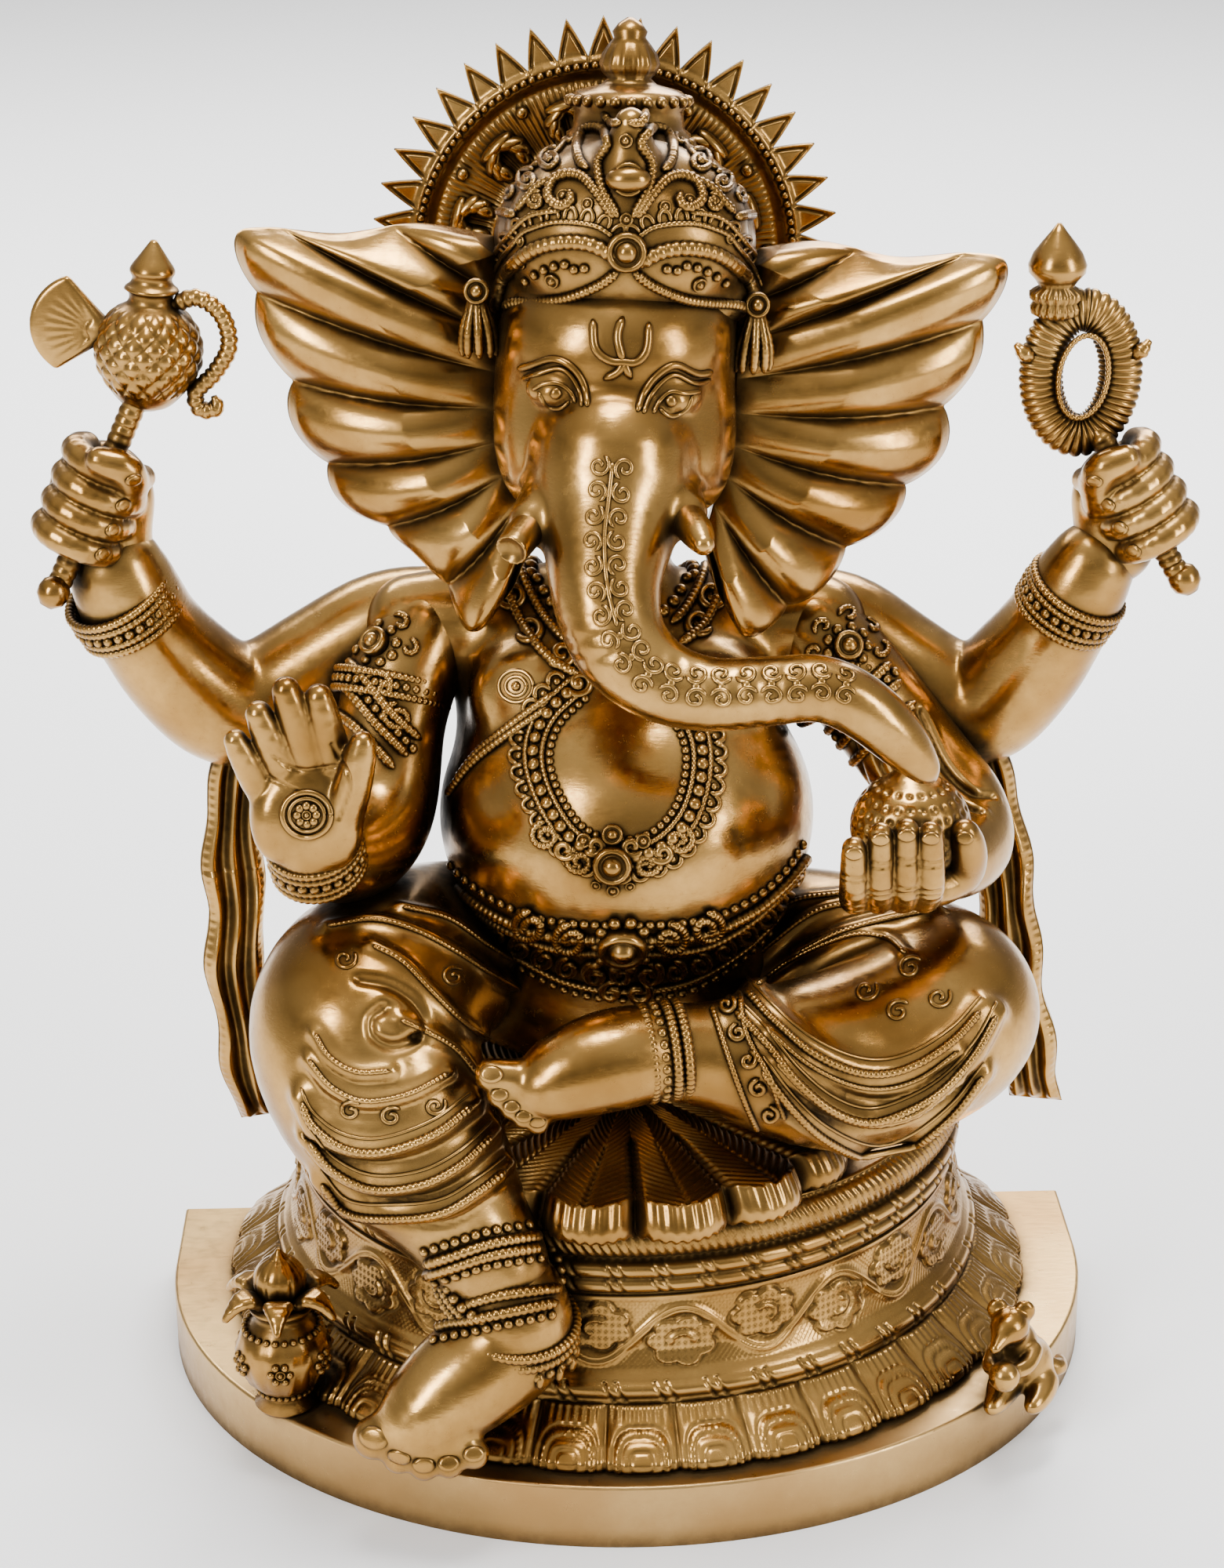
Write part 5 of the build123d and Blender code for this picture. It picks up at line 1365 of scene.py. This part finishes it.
garland = Trim()
INNER = [(-19, 421), (-31, 409), (-37, 395), (-37, 381), (-31, 364), (-21, 349), (-5, 341), (14, 344),
         (27, 357), (33, 375), (33, 394), (25, 412)]
centre = np.array([-2, 384.0])
for scale, r, kind in ((1.0, 2.2, "bead"), (1.11, 1.8, "cord"), (1.23, 3.6, "bead"), (1.35, 1.8, "cord")):
    line = [tuple(centre + (np.array(p) - centre) * (scale, scale)) for p in INNER]
    if kind == "bead":
        garland.row(torso, line, r)
    else:
        garland.lay(torso, line, r, 2.6)
line = resample([tuple(centre + (np.array(p) - centre) * 1.47) for p in INNER], 9.5)
for p in line:
    d = unit(p - centre)
    a0 = math.degrees(math.atan2(d[1], d[0]))
    garland.lay(torso, spiral(tuple(p), 4.6, a0 + 100, -0.62, inner=0.9), 1.6)
    garland.stud(torso, tuple(p - d * 0.8), 2.2, shape=BEAD)
garland.stud(torso, (-5, 327), 10, lift=0.5)
for x, z, r in ((-5, 344, 5.5), (-20, 341, 4), (11, 340, 4), (-5, 312, 3.4), (-14, 315, 2.6), (4, 314, 2.6)):
    garland.stud(torso, (x, z), r, lift=0.5)
garland.curls(torso, ((-14, 338, 1), (5, 337, -1), (-30, 336, -1), (21, 333, 1)),
              6, 1.3, (200, -20), 2.0, lift=1.0)
garland.curls(torso, ((-22, 329, 1), (13, 327, -1), (-40, 344, 1), (30, 340, -1)), 8, 1.5, (90, 90), 2.4, 2.4)
garland.stand_in("belly_garland")

for line in ([(-87, 376), (-75, 392), (-57, 408), (-35, 425)],
             [(-92, 368), (-79, 385), (-60, 401), (-38, 417)]):
    lay(torso, line, 2.5, 3.0)
for x in (-55, 50):
    for r in (9, 5.5):
        lay(torso, [(x + r * math.cos(a), 429 + r * math.sin(a))
                    for a in np.linspace(0, 2 * math.pi, 22)], 1.1, lift=0.0, taper=False)
    work.stud(torso, (x, 429), 2.6, shape=BEAD)

belt = Trim()
for line, r, pitch in (([(-100, 331), (-84, 312), (-66, 298), (-40, 287), (0, 283), (40, 285),
                         (66, 296), (84, 311), (98, 329)], 3.6, 3.6),
                       ([(-96, 321), (-80, 303), (-60, 289), (-34, 278), (0, 275), (38, 276), (62, 287),
                         (80, 303), (94, 319)], 2.8, 3.0)):
    belt.lay(torso, line, r, pitch)
belt.row(torso, [(-98, 337), (-84, 320), (-66, 306), (-40, 295), (0, 291), (40, 293),
                 (66, 303), (84, 318), (96, 336)], 2.8)
belt.curls(torso, ((-27, 285, 1), (25, 284, -1), (-48, 293, 1), (44, 290, -1)), 9,
           1.5, (90, 90), 2.8, 2.6, lift=1.0)
for k in range(17):
    f = k / 16
    line = resample([(-96, 318), (-78, 297), (-56, 281), (-30, 268), (0, 263), (34, 266),
                     (58, 279), (78, 297), (94, 316)], 1.0)
    x, z = line[int(f * (len(line) - 1))]
    belt.lay(torso, spiral((x, z), 6.2, 90, 1.35 if x < 0 else -1.35), 2.1, 2.6, lift=0.8)
line = [(-92, 308), (-74, 287), (-52, 271), (-28, 258), (0, 253), (32, 256), (56, 269), (76, 287), (90, 306)]
belt.lay(torso, line, 2.2, 3.0, lift=0.8)
belt.row(torso, [(x, z - 6) for x, z in line], 2.6, 6.4)
belt.stud(torso, (0, 281), 13, lift=0.4)
belt.wreath(torso, (0, 281), 13.5, 10, 3.4, lift=0.9)
belt.curls(torso, ((-14, 264, 1), (14, 264, -1), (-6, 254, 1), (8, 253, -1)), 7, 1.3, (60, 60), 2.4, lift=1.0)
belt.stand_in("waist_belt")

# Cloth folds on the legs.
swirl, _ = right_leg.drop(resample([(-142, 262), (-126, 258), (-113, 248), (-108, 236), (-114, 225),
                                    (-126, 221), (-136, 227), (-137, 238), (-130, 244)], 1.0))
right_leg.press(swirl, 3.2, 3.2)
right_leg.press(swirl + [0, 0, 6], 4.0, -2.2)
right_leg.bvh = None
HEMS = [
    (left_leg, [[(67, 253), (83, 234), (102, 216), (124, 204), (143, 201),
                 (162, 207), (181, 221), (195, 238)],
                [(61, 241), (78, 222), (95, 198), (115, 179), (136, 171), (158, 178),
                 (177, 191), (193, 212), (204, 235)],
                [(76, 205), (95, 178), (113, 160), (137, 148), (159, 154), (182, 174), (198, 198)]]),
    (right_leg, [[(-177, 191), (-171, 176), (-155, 162), (-134, 159), (-106, 169), (-84, 186)],
                 [(-174, 167), (-161, 148), (-140, 136), (-113, 138), (-91, 150), (-73, 168)],
                 [(-168, 140), (-154, 121), (-130, 117), (-102, 120), (-80, 134), (-66, 146)]]),
]
for skin, lines in HEMS:
    for line in lines:
        path, _ = skin.drop(resample(line, 1.2))
        if len(path):
            skin.press(path, 7.0, -5.5)
            skin.press(path + [0, 0, -9.0], 2.6, 4.0)
            skin.bvh = None
FOLDS = [
    (left_leg, [[(136, 303), (105, 297), (82, 280), (63, 262), (47, 247)],
                [(169, 297), (141, 291), (117, 284), (96, 273)],
                [(117, 307), (89, 302), (66, 280), (42, 255)],
                [(73, 254), (89, 267), (108, 277), (127, 283), (143, 280), (153, 271)],
                [(80, 225), (100, 206), (122, 193), (142, 189), (163, 195), (184, 211)],
                [(84, 206), (104, 184), (126, 171), (142, 168), (163, 174), (184, 194)]]),
    (right_leg, [[(-158, 294), (-134, 297), (-111, 290), (-88, 276), (-69, 262), (-46, 248)],
                 [(-118, 304), (-94, 297), (-74, 282), (-57, 270), (-43, 262)],
                 [(-135, 282), (-119, 272), (-103, 253), (-89, 237), (-73, 224), (-54, 219)],
                 [(-121, 237), (-108, 230), (-92, 219), (-80, 202)],
                 [(-168, 230), (-160, 215), (-146, 206), (-128, 206)],
                 [(-172, 214), (-160, 197), (-142, 188), (-118, 192), (-96, 204)]]),
]
for skin, lines in FOLDS:
    for line in lines:
        path, _ = skin.drop(resample(line, 1.0))
        if len(path):
            skin.press(path, 4.5, -3.0)
            skin.press(path + [0, 0, -6], 2.0, 3.2)
    skin.bvh = None
for skin, lines in HEMS:
    for line in lines:
        lay(skin, [(x, z - 3) for x, z in line], 2.5, 3.0, lift=0.1)
        lay(skin, [(x, z + 6) for x, z in line], 1.0, lift=0.1)
for skin, lines in FOLDS:
    for line in lines:
        lay(skin, line, 1.5, 2.6, lift=0.2)
for line in ([(48, 241), (57, 212), (66, 185), (74, 165)], [(63, 249), (68, 223), (81, 196), (89, 171)]):
    lay(left_leg, line, 1.8, 2.6)
for f in np.linspace(0.06, 0.94, 5):
    lay(left_leg, spiral((55 + 27 * f, 246 - 76 * f), 5.5, 90, 1.4 if int(f * 5) % 2 else -1.4), 1.6)
work.curls(left_leg, ((156, 262, 1), (172, 244, -1), (150, 236, 1),
                      (132, 249, -1)), 7, 1.3, (40, 40), 1.3, lift=0.1)
work.curls(right_leg, ((-92, 262, 1), (-150, 274, -1), (-128, 178, 1), (-104, 184, -1), (-150, 182, 1)),
           6.5, 1.3, (40, 40), 1.3, lift=0.1)
for k in range(6):
    line = [(112 + 9 * k, 396 + 3 * k), (122 + 9.5 * k, 366 + 3 * k),
            (140 + 9 * k, 340 + 5 * k), (158 + 8 * k, 322 + 8 * k)]
    path, _ = left_front_arm.drop(resample(line, 1.0))
    if len(path) > 3:
        left_front_arm.press(path, 2.0, 3.0)
        left_front_arm.press(path + [4.5, 0, 0], 2.6, -2.0)
left_front_arm.bvh = None
right_leg.stand_in("right_leg")
left_leg.stand_in("left_leg")
torso.stand_in("torso")
for skin, name, toe_list in ((right_foot, "right_foot", toes), (left_foot, "left_foot", left_toes)):
    for x, y, z, r in toe_list:
        nail(skin, to_plane((x, y - r * 0.6, z + r * 0.35)), r * 0.55)
    skin.stand_in(name)
for skin, name in ((right_rear_arm, "right_rear_arm"), (left_rear_arm, "left_rear_arm"),
                   (right_front_arm, "right_front_arm"), (left_front_arm, "left_front_arm")):
    skin.stand_in(name)
for side, line in (("right", [(-71, 636), (-73, 622), (-70, 606)]),
                   ("left", [(69, 627), (71, 613), (67, 596)])):
    tassel = Trim()
    top, low = from_plane(line[0][0], -10, line[0][1]), from_plane(line[2][0], -10, line[2][1])
    for k in range(7):
        w = math.pi * (k / 6 - 0.5) * 1.4
        path = resample([top + [0, 0, 4], top * 0.5 + low * 0.5 + [7 * math.sin(w), -7 * math.cos(w), 0],
                         low + [8.5 * math.sin(w), -6 * math.cos(w), 0]], 1.2)
        tassel.cord(path, (math.sin(w), -math.cos(w), 0), 2.6, 3.0)
    tassel.stamp(STUD, top + [0, -4, 4], (0, -1, 0.2), 6.5)
    tassel.save("look_" + side + "_tassel", nodes=[side + "_crown_tassel"])
work.save("look_fine_work")


# ---------------------------------------------------------------- shawl tails and back cloth
def sheet(front, rear, out):
    """A closed skin between two grids of points, with its front turned to face out."""
    rows, columns = front.shape[:2]
    q, o = weave(rows, columns, closed=False), rows * columns
    loop = rim_of(rows, columns)
    nxt = np.roll(loop, -1)
    wall = np.stack([loop, loop + o, nxt + o, nxt], 1)
    skin = Skin(np.concatenate([front.reshape(-1, 3), rear.reshape(-1, 3)]),
                np.concatenate([q, q[:, ::-1] + o, wall]))
    if skin.normals()[(rows // 2) * columns + columns // 2] @ out < 0:
        skin.q = skin.q[:, ::-1]
    return skin


def ribbon(name, node, spine, width, turn, thickness=5.0, ribs=3):
    """A hanging strip of cloth along a spine, with long ridges, ribbed edges and a wavy end."""
    spine = resample(spine, 1.2 * FINE)
    n, m = len(spine), int(44 / FINE)
    s = np.linspace(0, 1, n)[:, None]
    u = np.linspace(-1, 1, m)[None]
    width = np.interp(s, np.linspace(0, 1, len(width)), width)
    c, t = math.cos(math.radians(turn)), math.sin(math.radians(turn))
    across = np.array([c, t, 0])
    out = np.array([t, -c, 0]) if c > 0 else np.array([t, c, 0])
    wave = 2.4 * np.cos(u * math.pi * ribs) + 1.6 * np.sin(s * 30 + u * 2) * (s > 0.3)
    edge = 1.6 * hump(np.abs(u) - 0.9, 0.08) * (0.6 + 0.4 * np.sin(s * n * 1.6))
    taper = np.sqrt(np.clip(1 - u**12, 0, 1)) * np.clip(np.minimum(s, 1 - s) * 40, 0, 1)
    place = spine[:, None, :] + (u * width * (1 + 0.1 * np.sin(s * 26)))[..., None] * across
    front = place + ((wave + edge + thickness) * taper)[..., None] * out
    rear = place + ((wave - thickness) * taper)[..., None] * out
    sheet(front, rear, out).save(name, nodes=[node])


ribbon("look_right_shawl", "right_shawl_tail",
       [(-206, 58, 376), (-210, 60, 353), (-213, 54, 318), (-211, 48, 287), (-214, 44, 250), (-209, 40, 205),
        (-206, 48, 172), (-200, 60, 150)],
       [12, 15, 16, 17, 15, 15, 16, 15], 14)
ribbon("look_left_shawl", "left_shawl_tail",
       [(196, 56, 374), (205, 60, 345), (212, 56, 305), (217, 50, 264), (222, 48, 228),
        (230, 50, 190), (234, 54, 168), (238, 60, 150)],
       [12, 15, 16, 17, 16, 16, 16, 14], -14)


def back_cloth():
    """The cloak down the back: the CAD sheet's own shape with hanging folds and a border."""
    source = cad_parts["back_cloth"].data
    points = [tuple(v.co * 1000) for v in source.vertices]
    tree = BVHTree.FromPolygons(points, [tuple(f.vertices) for f in source.polygons])
    low, high = np.min(points, 0), np.max(points, 0)
    n, m = int(260 / FINE), int(150 / FINE)
    rows, last = [], None
    for z in np.linspace(low[2] + 0.8, high[2] - 0.8, n):
        found = []
        for x in np.linspace(low[0] + 0.6, high[0] - 0.6, 80):
            hit = tree.ray_cast(Vector((x, high[1] + 50, z)), Vector((0, -1, 0)))[0]
            if hit is not None:
                found.append((x, hit[1]))
        found = np.array(found) if len(found) > 6 else last
        last = found
        x = np.linspace(found[0, 0], found[-1, 0], m)
        y = steady(np.interp(x, found[:, 0], found[:, 1]), 3)
        rows.append(np.stack([x, y, np.full(m, z)], 1))
    back = np.array(rows)
    for _ in range(60):
        back[1:-1] = 0.25 * back[:-2] + 0.5 * back[1:-1] + 0.25 * back[2:]
    f = np.linspace(0, 1, n)[:, None]
    u = np.linspace(-1, 1, m)[None]
    folds = 3.4 * np.abs(np.sin(u * 9.5 + 0.9 * np.sin(f * 5.0 + u * 2.0))) ** 0.8 * (1.15 - f)
    border = 2.0 * hump(np.abs(u) - 0.93, 0.02) + 1.8 * hump(f - 0.05, 0.012) + 1.5 * hump(f - 0.09, 0.008)
    edge = np.sqrt(np.clip(1 - u**14, 0, 1)) * np.clip(np.minimum(f, 1 - f) * 50, 0, 1)
    outer = back + np.stack([0 * edge, (folds + border + 0.5) * edge, 0 * edge], -1)
    inner = back - np.stack([0 * edge, 6.0 * edge + 1.0, 0 * edge], -1)
    sheet(outer, inner, np.array([0, 1.0, 0])).stand_in("back_cloth")


back_cloth()

# ---------------------------------------------------------------- CAD parts that keep their own shape
for node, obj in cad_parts.items():
    kind = {"base_plate": "plinth_brass", "pedestal_bolts": "fixing_steel",
            "halo_stud": "fixing_steel", "halo_nut": "fixing_steel"}
    obj.data.materials.clear()
    obj.data.materials.append(MATERIALS[kind.get(node, "antique_brass")])


# ---------------------------------------------------------------- room, light and camera
def plain(name, colour, rough):
    m = bpy.data.materials.new(name)
    m.use_nodes = True
    m.node_tree.nodes["Principled BSDF"].inputs["Base Color"].default_value = (*colour, 1)
    m.node_tree.nodes["Principled BSDF"].inputs["Roughness"].default_value = rough
    return m


mesh = bpy.data.meshes.new("floor")
mesh.from_pydata([(-40, -40, 0), (40, -40, 0), (40, 40, 0), (-40, 40, 0)], [], [(0, 1, 2, 3)])
floor = bpy.data.objects.new("floor", mesh)
bpy.context.scene.collection.objects.link(floor)
mesh.materials.append(plain("floor", (0.93, 0.93, 0.93), 0.9))

world = bpy.data.worlds.new("room")
bpy.context.scene.world = world
world.use_nodes = True
nt = world.node_tree
back = nt.nodes["Background"]
wc = nt.nodes.new("ShaderNodeTexCoord")
sep = nt.nodes.new("ShaderNodeSeparateXYZ")
sky = nt.nodes.new("ShaderNodeValToRGB")
sky.color_ramp.elements[0].position = 0.32
pale = sky.color_ramp.elements.new(0.0)
pale.color = (0.80, 0.80, 0.80, 1)
sky.color_ramp.elements[1].color = (0.36, 0.355, 0.35, 1)
sky.color_ramp.elements[2].position = 0.9
sky.color_ramp.elements[2].color = (1, 1, 1, 1)
nt.links.new(wc.outputs["Generated"], sep.inputs[0])
nt.links.new(sep.outputs["Z"], sky.inputs[0])
nt.links.new(sky.outputs[0], back.inputs["Color"])
back.inputs["Strength"].default_value = 0.9


def softbox(name, place, target, size, power, colour=(1, 1, 1)):
    data = bpy.data.lights.new(name, "AREA")
    data.shape = "RECTANGLE"
    data.size, data.size_y = size
    data.energy = power
    data.color = colour
    obj = bpy.data.objects.new(name, data)
    obj.location = place
    obj.rotation_euler = (Vector(target) - Vector(place)).to_track_quat("-Z", "Y").to_euler()
    bpy.context.scene.collection.objects.link(obj)


softbox("key", (-1.5, -1.7, 1.5), (0, 0, 0.4), (0.5, 1.3), 50)
softbox("fill", (1.7, -1.2, 1.0), (0, 0, 0.35), (0.4, 1.3), 28)
softbox("top", (0.1, -0.1, 2.3), (0, 0, 0.3), (0.9, 0.6), 42)
softbox("sweep", (0, 2.6, 2.6), (0, 3.2, 0), (4.0, 1.5), 260)
softbox("rim", (0.6, 1.8, 1.6), (0, 0, 0.4), (1.2, 0.8), 28)

camera = bpy.data.objects.new("camera", bpy.data.cameras.new("camera"))
bpy.context.scene.collection.objects.link(camera)
yaw, pitch, roll = 0.0289, 0.3838, -0.0074
ahead = np.array([math.sin(yaw) * math.cos(pitch), math.cos(yaw) * math.cos(pitch), -math.sin(pitch)])
side = np.array([math.cos(yaw), -math.sin(yaw), 0])
over = np.cross(side, ahead)
r = side * math.cos(roll) + over * math.sin(roll)
u = over * math.cos(roll) - side * math.sin(roll)
pose = Matrix([[*map(float, row), p] for row,
               p in zip(np.stack([r, u, -ahead], 1), (EYE * 0.001).tolist())] + [[0, 0, 0, 1]])
camera.matrix_world = pose
camera.data.lens = 75.8
camera.data.sensor_fit = "AUTO"
camera.data.sensor_width = 36
bpy.context.scene.camera = camera
